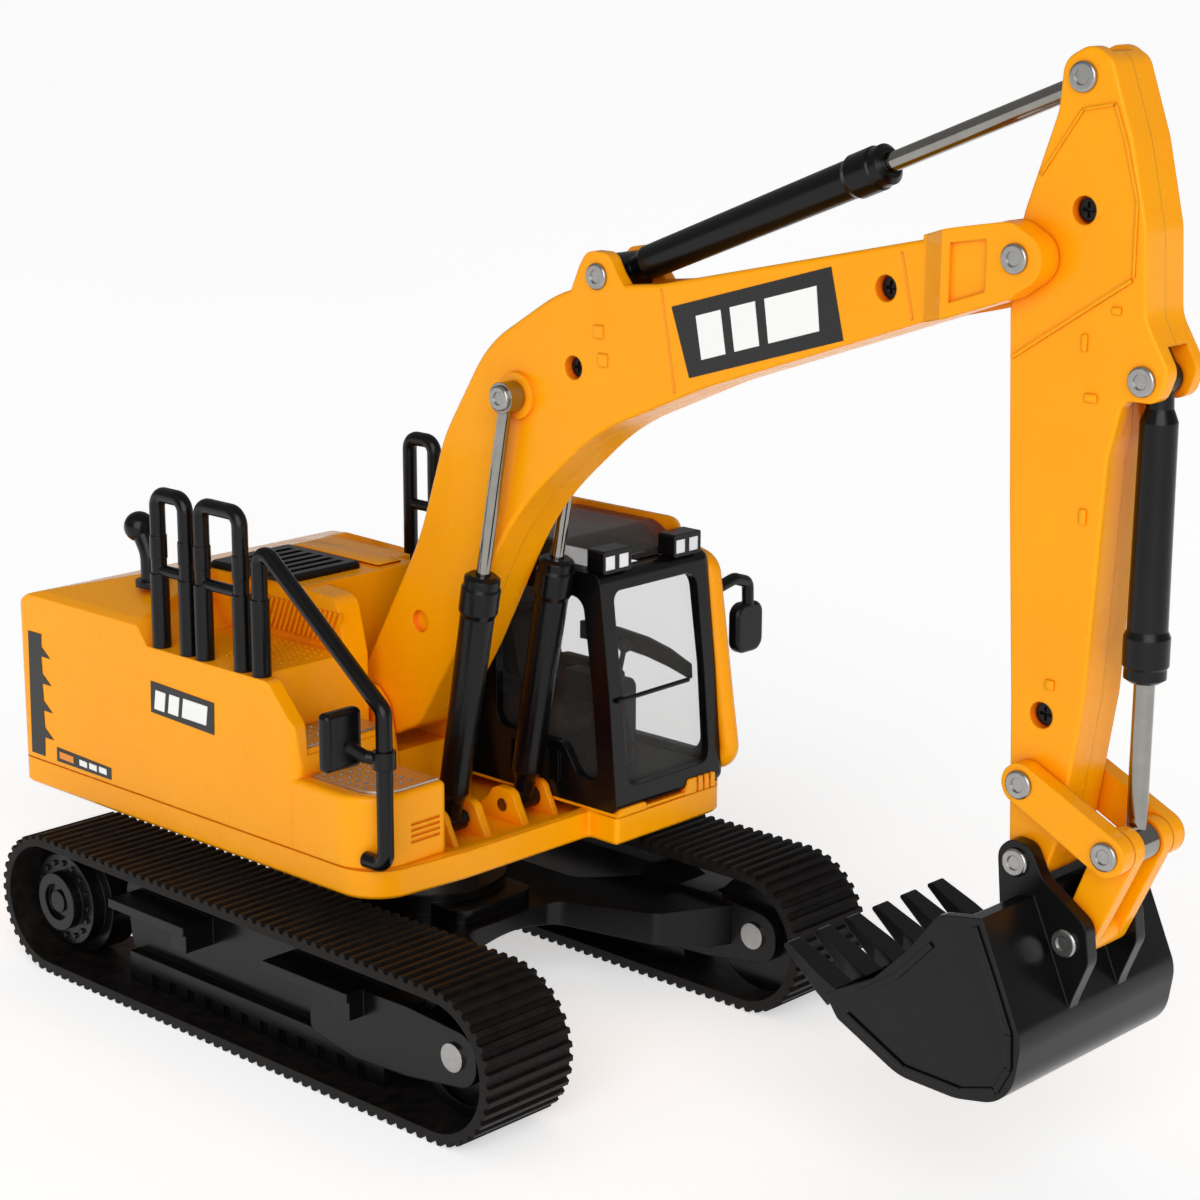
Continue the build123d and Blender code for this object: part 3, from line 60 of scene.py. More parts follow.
# ---- colours and materials ------------------------------------------------
def to_linear(hex_colour):
    """An sRGB hex colour as linear red, green, blue and alpha."""
    value = hex_colour.lstrip("#")
    channels = [int(value[i:i + 2], 16) / 255 for i in (0, 2, 4)]
    return tuple(c / 12.92 if c <= 0.04045 else ((c + 0.055) / 1.055) ** 2.4 for c in channels) + (1.0,)


def add_node(tree, kind, inputs=None, **settings):
    """A shader node with its settings, and its inputs set to values or linked to other nodes' sockets."""
    node = tree.nodes.new(kind)
    for name, value in settings.items():
        setattr(node, name, value)
    for name, value in (inputs or {}).items():
        if isinstance(value, bpy.types.NodeSocket):
            tree.links.new(value, node.inputs[name])
        else:
            node.inputs[name].default_value = value
    return node


def start_material(name):
    """An empty node material with its output, and object coordinates in metres."""
    material = bpy.data.materials.new(name)
    material.use_nodes = True
    tree = material.node_tree
    tree.nodes.clear()
    output = add_node(tree, "ShaderNodeOutputMaterial")
    place = add_node(tree, "ShaderNodeTexCoord").outputs["Object"]
    return material, tree, output, place


def ramp(tree, factor, stops):
    """A colour ramp over a factor, from (position, hex colour) stops."""
    node = add_node(tree, "ShaderNodeValToRGB", {"Fac": factor})
    elements = node.color_ramp.elements
    while len(elements) < len(stops):
        elements.new(0.5)
    for element, (position, colour) in zip(elements, stops):
        element.position = position
        element.color = to_linear(colour)
    return node.outputs["Color"]


def span(tree, factor, low, high, out_low, out_high):
    """A factor carried from one range to another."""
    node = add_node(tree, "ShaderNodeMapRange", {"Value": factor, "From Min": low, "From Max": high,
                                                 "To Min": out_low, "To Max": out_high})
    return node.outputs["Result"]


def grain(tree, place, size_mm, detail=3.0, roughness=0.55):
    """Noise whose lumps are about size_mm across."""
    return add_node(tree, "ShaderNodeTexNoise", {"Vector": place, "Scale": 1 / (size_mm * MM), "Detail": detail,
                                                 "Roughness": roughness}).outputs["Fac"]


def rounded(tree, radius_mm):
    """Surface normal with every edge rounded to a small radius."""
    return add_node(tree, "ShaderNodeBevel", {"Radius": radius_mm * MM}, samples=4).outputs["Normal"]


def bumped(tree, height, depth_mm, normal, strength=1.0):
    return add_node(tree, "ShaderNodeBump", {"Height": height, "Distance": depth_mm * MM, "Strength": strength,
                                             "Normal": normal}).outputs["Normal"]


def moulded_abs_yellow(colour, painted_shade_colour):
    """Injection-moulded ABS in glossy yellow.

    It is even in colour apart from painted shade: an occlusion test turns it a deeper orange in creases
    and hollows. It has the faint waviness of a polished mould, so reflections wander slightly.
    """
    material, tree, output, place = start_material("moulded_abs_yellow")
    cloud = grain(tree, place, 26.0, 2.0)
    body = ramp(tree, cloud, [(0.3, colour), (0.75, "#FCA002")])
    # Painted shade: ambient occlusion over 4.5 mm mixes the darker orange shade colour into creases and hollows.
    occlusion_in_creases = add_node(tree, "ShaderNodeAmbientOcclusion", {"Distance": 4.5 * MM}, samples=6).outputs["AO"]
    shade_mix = span(tree, occlusion_in_creases, 0.1, 0.75, 0.0, 1.0)
    base = add_node(tree, "ShaderNodeMix", {"Factor": shade_mix, 6: to_linear(painted_shade_colour), 7: body}, data_type="RGBA")
    waves = grain(tree, place, 9.0, 2.0)
    fine = grain(tree, place, 1.1, 2.0)
    normal = bumped(tree, waves, 0.03, rounded(tree, 0.5))
    normal = bumped(tree, fine, 0.003, normal)
    gloss = span(tree, grain(tree, place, 5.0), 0.3, 0.7, 0.20, 0.30)
    shader = add_node(tree, "ShaderNodeBsdfPrincipled", {"Base Color": base.outputs[2], "Roughness": gloss,
                                                         "IOR": 1.5, "Specular IOR Level": 0.22,
                                                         "Normal": normal,
                                                         "Subsurface Weight": 0.12,
                                                         "Subsurface Radius": (0.004, 0.0016, 0.0003),
                                                         "Subsurface Scale": 0.6})
    tree.links.new(shader.outputs[0], output.inputs["Surface"])
    return material


def moulded_abs_black(name, colour, low_rough, high_rough, edge_mm=0.35, grain_mm=0.5, grain_depth=0.02):
    """Injection-moulded ABS in black, with the fine leathery skin of an etched mould."""
    material, tree, output, place = start_material(name)
    skin = grain(tree, place, grain_mm, 3.0)
    patch = grain(tree, place, 14.0, 2.0)
    base = ramp(tree, patch, [(0.3, colour), (0.8, "#0B0B0D")])
    rough = span(tree, patch, 0.3, 0.7, low_rough, high_rough)
    normal = bumped(tree, skin, grain_depth, rounded(tree, edge_mm))
    shader = add_node(tree, "ShaderNodeBsdfPrincipled", {"Base Color": base, "Roughness": rough, "IOR": 1.46,
                                                         "Specular IOR Level": 0.3, "Normal": normal})
    tree.links.new(shader.outputs[0], output.inputs["Surface"])
    return material


def vulcanised_rubber(colour):
    """Moulded black rubber belt: matt, with lighter brown patches scattered by noise, partly a dusting and partly a
    painted sheen.
    """
    material, tree, output, place = start_material("vulcanised_rubber")
    dust_sheen_noise = grain(tree, place, 3.0, 5.0, 0.65)
    # Painted sheen and dust: the lighter brown patches, scattered by noise, stand partly for dust and partly for a
    # brownish shine of light.
    dust_and_sheen = ramp(tree, dust_sheen_noise, [(0.35, colour), (0.62, "#181513"), (0.85, "#26211D")])
    pores = grain(tree, place, 0.4, 3.0)
    rough = span(tree, dust_sheen_noise, 0.3, 0.7, 0.42, 0.62)
    normal = bumped(tree, pores, 0.05, rounded(tree, 0.25))
    shader = add_node(tree, "ShaderNodeBsdfPrincipled", {"Base Color": dust_and_sheen, "Roughness": rough, "IOR": 1.52,
                                                         "Specular IOR Level": 0.15, "Normal": normal})
    tree.links.new(shader.outputs[0], output.inputs["Surface"])
    return material


def bare_metal(name, colour, shine, low_rough, high_rough, scratch_mm, depth_mm, edge_mm=0.2):
    """Bare metal with small handling scratches that catch the light."""
    material, tree, output, place = start_material(name)
    marks = grain(tree, place, scratch_mm, 4.0, 0.6)
    base = ramp(tree, marks, [(0.2, colour), (0.95, shine)])
    rough = span(tree, marks, 0.3, 0.7, low_rough, high_rough)
    normal = bumped(tree, marks, depth_mm, rounded(tree, edge_mm))
    shader = add_node(tree, "ShaderNodeBsdfPrincipled", {"Base Color": base, "Roughness": rough, "Metallic": 1.0,
                                                         "Normal": normal})
    tree.links.new(shader.outputs[0], output.inputs["Surface"])
    return material


def polycarbonate(name, colour, alpha, rough):
    """Clear or smoked polycarbonate sheet: thin, glossy, with faint drawn waviness."""
    material, tree, output, place = start_material(name)
    waves = grain(tree, place, 12.0, 1.0)
    base = ramp(tree, waves, [(0.2, colour), (0.9, colour)])
    normal = bumped(tree, waves, 0.04, rounded(tree, 0.2))
    shader = add_node(tree, "ShaderNodeBsdfPrincipled", {"Base Color": base, "Roughness": rough, "IOR": 1.58,
                                                         "Alpha": alpha, "Normal": normal,
                                                         "Coat Weight": 0.2, "Coat Roughness": 0.03})
    tree.links.new(shader.outputs[0], output.inputs["Surface"])
    return material


def printed_film(name, colour, rough):
    """Screen-printed vinyl film: flat colour with the slight tooth of dried ink."""
    material, tree, output, place = start_material(name)
    tooth = grain(tree, place, 0.35, 3.0)
    base = ramp(tree, grain(tree, place, 6.0), [(0.0, colour), (1.0, colour)])
    spread = span(tree, tooth, 0.3, 0.7, rough, rough + 0.1)
    normal = bumped(tree, tooth, 0.01, rounded(tree, 0.08))
    shader = add_node(tree, "ShaderNodeBsdfPrincipled", {"Base Color": base, "Roughness": spread, "IOR": 1.5,
                                                         "Normal": normal})
    tree.links.new(shader.outputs[0], output.inputs["Surface"])
    return material


MATERIALS = {}
GRIP = ("cab_seat", "cab_console", "cab_levers")
YELLOW_NODES = ("deck_tray", "body_shell", "boom_pedestal", "cab_sill", "cab_roof", "cab_guard_tube",
                "boom_shell_left", "boom_shell_right", "arm_shell_left", "arm_shell_right", "bucket_rocker",
                "bucket_coupler")
STEEL_NODES = ("track_axles", "boom_foot_pin", "arm_pivot_pin", "arm_cylinder_base_pin", "boom_rod_rivets",
               "boom_cylinder_foot_pins", "arm_eye_rivets", "arm_link_pins", "rocker_end_pin", "bucket_link_pin")
CHROME_NODES = ("boom_cylinder_rods", "arm_cylinder_rod", "bucket_cylinder_rod")
BELT_NODES = ("track_belt_left", "track_belt_right")


def paint(obj, material):
    obj.data.materials.clear()
    obj.data.materials.append(material)


# ---- mesh helpers ----------------------------------------------------------
def finish_piece(name, shape, material, body, smooth_deg=35.0):
    """Turns a bmesh into a piece that rides on a body and has its finish."""
    mesh = bpy.data.meshes.new(name)
    bmesh.ops.remove_doubles(shape, verts=shape.verts, dist=1e-6)
    bmesh.ops.recalc_face_normals(shape, faces=shape.faces)
    shape.to_mesh(mesh)
    shape.free()
    mesh.shade_smooth()
    piece = bpy.data.objects.new(name, mesh)
    bpy.context.collection.objects.link(piece)
    mesh.set_sharp_from_angle(angle=math.radians(smooth_deg))
    mesh.materials.append(MATERIALS[material])
    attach(piece, body)
    return piece


def side_prism(shape, points, y_low, y_high, bevel=0.0):
    """Adds a prism with an (x, z) outline between two Y values, all in millimetres."""
    low = [shape.verts.new((x * MM, y_low * MM, z * MM)) for x, z in points]
    face = shape.faces.new(low)
    grown = bmesh.ops.extrude_face_region(shape, geom=[face])["geom"]
    top = [item for item in grown if isinstance(item, bmesh.types.BMVert)]
    bmesh.ops.translate(shape, verts=top, vec=(0, (y_high - y_low) * MM, 0))
    if bevel:
        rim = [edge for edge in shape.edges if edge.verts[0] in top and edge.verts[1] in top]
        bmesh.ops.bevel(shape, geom=rim, offset=bevel * MM, segments=2, profile=0.6, affect="EDGES")


def slab(shape, low, high, bevel=0.0):
    """Adds a box between two corners in millimetres, with its edges eased."""
    made = bmesh.ops.create_cube(shape, size=1.0)["verts"]
    size = [(h - l) * MM for l, h in zip(low, high)]
    centre = [(h + l) / 2 * MM for l, h in zip(low, high)]
    matrix = Matrix.Translation(centre) @ Matrix.Diagonal((*size, 1.0))
    bmesh.ops.transform(shape, matrix=matrix, verts=made)
    if bevel:
        edges = list({edge for vert in made for edge in vert.link_edges})
        bmesh.ops.bevel(shape, geom=edges, offset=bevel * MM, segments=2, profile=0.6, affect="EDGES")


def turned(shape, base, axis, stations, steps=24):
    """Adds a turned solid: (distance along the axis, radius) stations in millimetres from a base point."""
    direction = Vector(axis).normalized()
    turn = Vector((0, 0, 1)).rotation_difference(direction).to_matrix()
    rings = []
    for distance, radius in stations:
        ring = []
        for step in range(steps):
            angle = 2 * math.pi * step / steps
            local = Vector((radius * math.cos(angle), radius * math.sin(angle), distance))
            ring.append(shape.verts.new((Vector(base) + turn @ local) * MM))
        rings.append(ring)
    for lower, upper in zip(rings, rings[1:]):
        for step in range(steps):
            after = (step + 1) % steps
            shape.faces.new((lower[step], lower[after], upper[after], upper[step]))
    shape.faces.new(list(reversed(rings[0])))
    shape.faces.new(rings[-1])


def strip(shape, start, end, width, face_y, height):
    """Adds a narrow raised bar on a side face, from start to end in (x, z)."""
    run = Vector((end[0] - start[0], end[1] - start[1]))
    normal = Vector((-run.y, run.x)).normalized() * (width / 2)
    corners = [(start[0] + normal.x, start[1] + normal.y), (end[0] + normal.x, end[1] + normal.y),
               (end[0] - normal.x, end[1] - normal.y), (start[0] - normal.x, start[1] - normal.y)]
    low, high = sorted((face_y, face_y + height))
    side_prism(shape, corners, low, high)


def bar_run(shape, points, width, face_y, height):
    """Adds raised bars along a chain of (x, z) points on a side face."""
    for start, end in zip(points, points[1:]):
        strip(shape, start, end, width, face_y, height)


# ---- settings --------------------------------------------------------------
class ExcavatorFinish(bpy.types.PropertyGroup):
    """Colours of the mouldings."""
    yellow: bpy.props.StringProperty(name="Yellow", description="Body moulding colour, sRGB hex", default="#FFA600")
    # Painted shade: the darker orange that the yellow is mixed towards in creases and hollows.
    painted_shade_colour: bpy.props.StringProperty(name="Recess", description="Yellow in deep folds, sRGB hex", default="#EE5A10")
    black: bpy.props.StringProperty(name="Black", description="Black moulding colour, sRGB hex", default="#050506")
    rubber: bpy.props.StringProperty(name="Rubber", description="Belt colour, sRGB hex", default="#0D0B0A")


class ExcavatorSizes(bpy.types.PropertyGroup):
    """Sizes of small surface details."""
    film: bpy.props.FloatProperty(name="Film thickness", description="Thickness of a printed film",
                                  default=0.00012, unit="LENGTH", precision=5)
    ridge: bpy.props.FloatProperty(name="Ridge height", description="Height of a raised moulded line",
                                   default=0.0004, unit="LENGTH", precision=5)


class StudioSettings(bpy.types.PropertyGroup):
    """The camera, lights and floor."""
    camera_place: bpy.props.FloatVectorProperty(name="Camera", description="Camera position", subtype="TRANSLATION",
                                                default=(0.366178, -0.33776, 0.201979), unit="LENGTH")
    azimuth: bpy.props.FloatProperty(name="Azimuth", description="Camera's turn about the vertical",
                                     default=math.radians(43.39), unit="ROTATION")
    elevation: bpy.props.FloatProperty(name="Elevation", description="Camera's height above the horizon",
                                       default=math.radians(14.119), unit="ROTATION")
    roll: bpy.props.FloatProperty(name="Roll", description="Camera's tilt about its view",
                                  default=math.radians(0.209), unit="ROTATION")
    lens: bpy.props.FloatProperty(name="Lens", description="Focal length on a 36 mm wide sensor", default=80.62,
                                  subtype="NONE")
    floor_size: bpy.props.FloatProperty(name="Floor", description="Side of the square floor", default=40.0,
                                        unit="LENGTH")
    key_power: bpy.props.FloatProperty(name="Key light", description="Power of the key light in watts", default=0.3)
    sun: bpy.props.FloatProperty(name="Sun", description="Strength of the soft overhead light", default=2.05)
    room: bpy.props.FloatProperty(name="Room", description="Strength of the white room", default=0.26)


# ---- operators -------------------------------------------------------------
class EXCAVATOR_OT_materials(bpy.types.Operator):
    """Makes the materials and gives one to every CAD node"""
    bl_idname = "excavator.materials"
    bl_label = "Materials"

    def execute(self, context):
        finish = context.scene.excavator_finish
        MATERIALS["yellow"] = moulded_abs_yellow(finish.yellow, finish.painted_shade_colour)
        MATERIALS["black"] = moulded_abs_black("moulded_abs_black", finish.black, 0.20, 0.30, grain_depth=0.006)
        MATERIALS["interior"] = moulded_abs_black("moulded_abs_interior", "#0A0A0B", 0.45, 0.6)
        MATERIALS["grey"] = moulded_abs_black("moulded_abs_grey", "#5C5F63", 0.3, 0.4)
        MATERIALS["rubber"] = vulcanised_rubber(finish.rubber)
        MATERIALS["chrome"] = bare_metal("chromed_steel", "#8E8C86", "#A19F99", 0.05, 0.09, 3.0, 0.0006)
        MATERIALS["steel"] = bare_metal("nickelled_steel", "#9B9A99", "#B4B3B0", 0.22, 0.28, 1.6, 0.001)
        MATERIALS["tread"] = bare_metal("stamped_aluminium", "#B4B2AE", "#D4D2CD", 0.3, 0.42, 0.8, 0.004)
        MATERIALS["turned"] = bare_metal("turned_zinc", "#85888C", "#A0A3A6", 0.3, 0.45, 0.8, 0.004)
        MATERIALS["clear"] = polycarbonate("clear_polycarbonate", "#6E6C69", 0.09, 0.04)
        MATERIALS["smoked"] = polycarbonate("smoked_polycarbonate", "#4A4844", 0.42, 0.08)
        MATERIALS["lamp"] = printed_film("moulded_white_lens", "#EDEFF2", 0.15)
        MATERIALS["ink_black"] = printed_film("printed_film_black", "#0A0A0A", 0.22)
        MATERIALS["ink_white"] = printed_film("printed_film_white", "#F2F2F0", 0.3)
        MATERIALS["ink_orange"] = printed_film("printed_film_orange", "#E8891A", 0.3)
        for name, node in NODES.items():
            paint(node, MATERIALS["black"])
        for names, material in ((YELLOW_NODES, "yellow"), (STEEL_NODES, "steel"), (CHROME_NODES, "chrome"),
                                (BELT_NODES, "rubber"), (GRIP, "interior"), (("tread_plates",), "tread"),
                                (("slew_post",), "turned"), (("cab_windows",), "clear"),
                                (("cab_skylight",), "smoked"), (("cab_lamps",), "lamp")):
            for name in names:
                paint(NODES[name], MATERIALS[material])
        return {"FINISHED"}


class EXCAVATOR_OT_boom_graphics(bpy.types.Operator):
    """Puts a plain printed panel with bars on both sides of the boom"""
    bl_idname = "excavator.boom_graphics"
    bl_label = "Boom graphics"

    def execute(self, context):
        film = context.scene.excavator_sizes.film / MM
        panel = [(69.3, 140.4), (102.8, 150.0), (105.6, 138.6), (73.4, 128.9)]
        for side, label in ((-1, "right"), (1, "left")):
            shape = bmesh.new()
            face = side * BOOM_SIDE
            low, high = sorted((face, face + side * film))
            side_prism(shape, panel, low, high)
            finish_piece("boom_panel_" + label, shape, "ink_black", "boom")
            shape = bmesh.new()
            low, high = sorted((face + side * film, face + side * 2 * film))
            for share, reach in ((0.14, 0.30), (0.36, 0.52), (0.58, 0.90)):
                corners = []
                for across, down in ((share, 0.2), (reach, 0.2), (reach - 0.03, 0.8), (share - 0.03, 0.8)):
                    top = Vector(panel[0]).lerp(Vector(panel[1]), across)
                    bottom = Vector(panel[3]).lerp(Vector(panel[2]), across)
                    corners.append(top.lerp(bottom, down))
                side_prism(shape, corners, low, high)
            finish_piece("boom_bars_" + label, shape, "ink_white", "boom")
        return {"FINISHED"}


class EXCAVATOR_OT_body_graphics(bpy.types.Operator):
    """Puts plain printed panels on the engine body's right side"""
    bl_idname = "excavator.body_graphics"
    bl_label = "Body graphics"

    def execute(self, context):
        film = context.scene.excavator_sizes.film / MM
        face, back = -SIDE_FACE - film, -SIDE_FACE
        top, under = -SIDE_FACE - 2 * film, -SIDE_FACE - film
        shape = bmesh.new()
        side_prism(shape, [(-33.0, 62.4), (-14.0, 61.8), (-14.2, 55.6), (-33.2, 56.2)], face, back)
        rear = [(-72.6, 65.0), (-68.2, 65.0)]
        for tick in range(4):
            z = 62.4 - tick * 5.6
            rear += [(-68.4, z), (-65.6, z - 2.0), (-68.6, z - 2.0)]
        rear += [(-68.8, 39.6), (-73.2, 39.6)]
        side_prism(shape, rear, face, back)
        side_prism(shape, [(-64.6, 42.4), (-46.8, 41.9), (-46.9, 39.5), (-64.7, 39.5)], face, back)
        finish_piece("body_panels", shape, "ink_black", "upper")
        shape = bmesh.new()
        for x_low, x_high in ((-31.4, -28.4), (-27.2, -24.2), (-23.0, -15.8)):
            side_prism(shape, [(x_low, 60.9), (x_high, 60.8), (x_high - 0.6, 57.0), (x_low - 0.6, 57.1)], top, under)
        for x_low, x_high in ((-57.0, -54.6), (-53.8, -51.4), (-50.6, -48.2)):
            side_prism(shape, [(x_low, 41.5), (x_high, 41.4), (x_high, 40.2), (x_low, 40.3)], top, under)
        finish_piece("body_bars", shape, "ink_white", "upper")
        shape = bmesh.new()
        side_prism(shape, [(-63.6, 41.7), (-59.0, 41.6), (-59.0, 40.2), (-63.6, 40.3)], top, under)
        finish_piece("body_badge", shape, "ink_orange", "upper")
        return {"FINISHED"}


class EXCAVATOR_OT_arm_mouldings(bpy.types.Operator):
    """Adds the raised lines and small raised panels on the arm's sides"""
    bl_idname = "excavator.arm_mouldings"
    bl_label = "Arm mouldings"

    def execute(self, context):
        ridge = context.scene.excavator_sizes.ridge / MM
        panel = [(140.4, 166.6), (147.2, 176.4), (152.6, 177.4), (154.6, 172.4), (157.0, 164.0), (157.0, 153.0)]
        for side, label in ((-1, "right"), (1, "left")):
            face = side * ARM_FACE
            shape = bmesh.new()
            bar_run(shape, panel, 0.5, face, side * ridge * 0.7)
            bar_run(shape, [(136.6, 139.3), (156.8, 152.6)], 0.6, face, side * ridge)
            low, high = sorted((face, face + side * ridge))
            for x, z, wide, tall in ((149.3, 142.8, 1.0, 2.6), (150.8, 134.8, 2.2, 1.3), (150.4, 116.9, 1.2, 2.4),
                                     (154.5, 148.0, 1.6, 1.1), (146.0, 90.1, 1.6, 1.6)):
                slab(shape, (x - wide / 2, low, z - tall / 2), (x + wide / 2, high, z + tall / 2), 0.15)
            finish_piece("arm_lines_" + label, shape, "yellow", "arm")
        return {"FINISHED"}


class EXCAVATOR_OT_body_mouldings(bpy.types.Operator):
    """Adds the dimpled platform, the hood's raised panel, and the grooves and louvres on the engine body"""
    bl_idname = "excavator.body_mouldings"
    bl_label = "Body mouldings"

    def execute(self, context):
        ridge = context.scene.excavator_sizes.ridge / MM
        platform_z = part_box("handrail_middle")[0].z / MM
        shape = bmesh.new()
        for row in range(9):
            for column in range(9):
                x, y = -19.4 + 1.9 * column + 0.95 * (row % 2), -33.4 + 1.8 * row
                if x < -4.2:
                    turned(shape, (x, y, platform_z - 0.05), (0, 0, 1), [(0.0, 0.55), (0.2, 0.45), (0.34, 0.15)], 8)
        finish_piece("platform_dimples", shape, "yellow", "upper")
        shape = bmesh.new()
        slab(shape, (-41.0, 3.4, HOOD_TOP - 0.1), (-16.0, 9.6, HOOD_TOP + 0.7), 0.5)
        finish_piece("hood_panel", shape, "yellow", "upper")
        shape = bmesh.new()
        for louvre in range(8):
            z = 46.0 + louvre * 2.1
            slab(shape, (-66.0, SIDE_FACE - 0.1, z), (-48.0, SIDE_FACE + ridge * 1.5, z + 1.0), 0.3)
        bar_run(shape, [(-69.0, 43.5), (-69.0, 65.0), (-45.0, 65.0), (-45.0, 43.5), (-69.0, 43.5)], 0.6,
                SIDE_FACE, ridge)
        bar_run(shape, [(-40.0, 43.5), (-40.0, 65.0), (-22.5, 65.0), (-22.5, 43.5), (-40.0, 43.5)], 0.6,
                SIDE_FACE, ridge)
        finish_piece("left_side_louvres", shape, "yellow", "upper")
        return {"FINISHED"}


class EXCAVATOR_OT_bucket_mouldings(bpy.types.Operator):
    """Adds the raised rim and stiffening ribs on the bucket's sides"""
    bl_idname = "excavator.bucket_mouldings"
    bl_label = "Bucket mouldings"

    def execute(self, context):
        ridge = context.scene.excavator_sizes.ridge / MM
        rim = [(145.4, 55.4), (148.9, 48.0), (152.4, 40.0), (152.6, 34.5), (150.4, 30.2), (144.0, 28.2), (133.0, 28.6),
               (121.6, 34.2)]
        for side, label in ((-1, "right"), (1, "left")):
            shape = bmesh.new()
            bar_run(shape, rim, 1.1, side * BUCKET_FACE, side * ridge)
            bar_run(shape, [(124.0, 38.6), (131.2, 43.6), (137.6, 50.4)], 1.0, side * BUCKET_FACE, side * ridge)
            finish_piece("bucket_rim_" + label, shape, "black", "bucket")
        return {"FINISHED"}


class EXCAVATOR_OT_cab_fittings(bpy.types.Operator):
    """Adds the door's cross rail, its handle and the arm rests"""
    bl_idname = "excavator.cab_fittings"
    bl_label = "Cab fittings"

    def execute(self, context):
        shape = bmesh.new()
        upper = [(2.0, 65.4), (12.0, 65.8), (20.0, 65.2), (26.0, 63.9), (31.4, 61.8)]
        lower = [(31.6, 59.0), (26.0, 60.4), (20.0, 61.4), (12.0, 62.0), (2.0, 61.8)]
        side_prism(shape, upper + lower, 41.6, 42.6)
        slab(shape, (2.0, CAB_FACE - 0.1, 57.6), (7.4, CAB_FACE + 1.0, 59.2), 0.4)
        finish_piece("door_rail", shape, "black", "upper")
        shape = bmesh.new()
        for y in (18.6, 38.6):
            slab(shape, (-1.0, y, 57.0), (13.0, y + 2.6, 58.8), 0.7)
        finish_piece("arm_rests", shape, "interior", "upper")
        return {"FINISHED"}


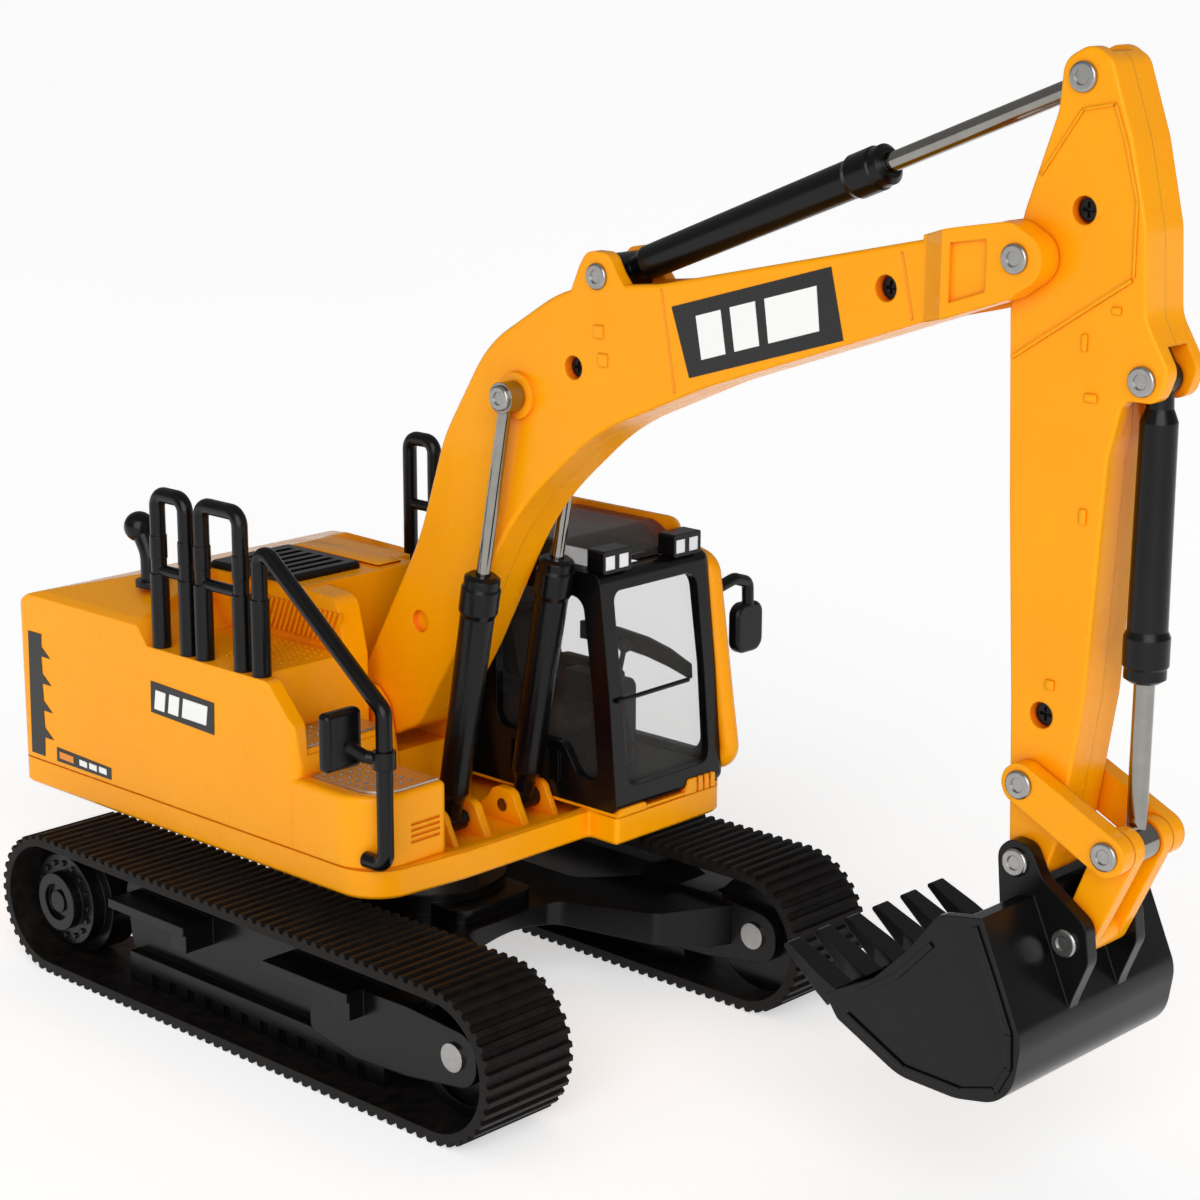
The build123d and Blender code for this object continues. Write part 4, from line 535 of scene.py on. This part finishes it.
class EXCAVATOR_OT_studio(bpy.types.Operator):
    """Adds the floor, the lights and the camera"""
    bl_idname = "excavator.studio"
    bl_label = "Studio"

    def execute(self, context):
        settings = context.scene.excavator_studio
        self.add_floor(settings)
        self.add_lights(settings)
        self.add_camera(context, settings)
        return {"FINISHED"}

    def add_floor(self, settings):
        material, tree, output, place = start_material("painted_floor")
        tone = ramp(tree, grain(tree, place, 400.0), [(0.0, "#FDFDFD"), (1.0, "#F9F9F9")])
        shader = add_node(tree, "ShaderNodeBsdfPrincipled", {"Base Color": tone, "Roughness": 0.75,
                                                             "Emission Color": tone, "Emission Strength": 0.52})
        tree.links.new(shader.outputs[0], output.inputs["Surface"])
        half = settings.floor_size / 2
        mesh = bpy.data.meshes.new("floor")
        mesh.from_pydata([(-half, -half, -0.0002), (half, -half, -0.0002), (half, half, -0.0002),
                          (-half, half, -0.0002)], [], [(0, 1, 2, 3)])
        floor = bpy.data.objects.new("floor", mesh)
        bpy.context.collection.objects.link(floor)
        mesh.materials.append(material)

    def add_lights(self, settings):
        world = bpy.data.worlds.new("soft_white_room")
        bpy.context.scene.world = world
        world.use_nodes = True
        background = world.node_tree.nodes["Background"]
        background.inputs["Color"].default_value = to_linear("#FFFFFF")
        background.inputs["Strength"].default_value = settings.room
        data = bpy.data.lights.new("soft_overhead", "SUN")
        data.energy = settings.sun
        data.angle = math.radians(55)
        sun = bpy.data.objects.new("soft_overhead", data)
        sun.rotation_euler = Vector((-0.62, 0.70, -0.36)).to_track_quat("-Z", "Y").to_euler()
        bpy.context.collection.objects.link(sun)
        target = Vector((0.03, 0.0, 0.08))
        for name, place, size, power in (("key_softbox", (-0.25, -0.95, 0.85), 0.7, settings.key_power),
                                         ("fill_softbox", (1.0, -0.35, 0.55), 0.6, settings.key_power * 1.6),
                                         ("top_softbox", (0.05, 0.2, 1.2), 0.9, settings.key_power * 0.5)):
            data = bpy.data.lights.new(name, "AREA")
            data.size = size
            data.energy = power
            lamp = bpy.data.objects.new(name, data)
            lamp.location = place
            lamp.rotation_euler = (target - Vector(place)).to_track_quat("-Z", "Y").to_euler()
            bpy.context.collection.objects.link(lamp)

    def add_camera(self, context, settings):
        turn, rise, roll = settings.azimuth, settings.elevation, settings.roll
        back = Vector((math.sin(turn) * math.cos(rise), -math.cos(turn) * math.cos(rise), math.sin(rise)))
        right = (-back).cross(Vector((0, 0, 1))).normalized()
        up = right.cross(-back)
        side = math.cos(roll) * right + math.sin(roll) * up
        upward = -math.sin(roll) * right + math.cos(roll) * up
        data = bpy.data.cameras.new("camera")
        data.lens = settings.lens
        data.sensor_width = 36.0
        data.clip_start = 0.01
        camera = bpy.data.objects.new("camera", data)
        matrix = Matrix((side, upward, back)).transposed().to_4x4()
        matrix.translation = Vector(settings.camera_place)
        camera.matrix_world = matrix
        bpy.context.collection.objects.link(camera)
        context.scene.camera = camera
        context.scene.view_settings.view_transform = "Standard"


OPERATORS = (EXCAVATOR_OT_materials, EXCAVATOR_OT_boom_graphics, EXCAVATOR_OT_body_graphics,
             EXCAVATOR_OT_arm_mouldings, EXCAVATOR_OT_body_mouldings, EXCAVATOR_OT_bucket_mouldings,
             EXCAVATOR_OT_cab_fittings, EXCAVATOR_OT_studio)


class EXCAVATOR_PT_sidebar(bpy.types.Panel):
    """Lists the excavator's settings and steps"""
    bl_idname = "EXCAVATOR_PT_sidebar"
    bl_label = "Toy Excavator"
    bl_space_type = "VIEW_3D"
    bl_region_type = "UI"
    bl_category = "Toy Excavator"

    def draw(self, context):
        for group in (context.scene.excavator_finish, context.scene.excavator_sizes,
                      context.scene.excavator_studio):
            box = self.layout.box()
            for name in group.__annotations__:
                box.prop(group, name)
        for operator in OPERATORS:
            self.layout.operator(operator.bl_idname)


GROUPS = {"excavator_finish": ExcavatorFinish, "excavator_sizes": ExcavatorSizes, "excavator_studio": StudioSettings}
CLASSES = tuple(GROUPS.values()) + OPERATORS + (EXCAVATOR_PT_sidebar,)


def register():
    for cls in CLASSES:
        bpy.utils.register_class(cls)
    for name, group in GROUPS.items():
        setattr(bpy.types.Scene, name, bpy.props.PointerProperty(type=group))


def unregister():
    for name in GROUPS:
        delattr(bpy.types.Scene, name)
    for cls in reversed(CLASSES):
        bpy.utils.unregister_class(cls)


def main():
    register()
    for operator in OPERATORS:
        group, name = operator.bl_idname.split(".")
        getattr(getattr(bpy.ops, group), name)()


if __name__ == "__main__":
    main()
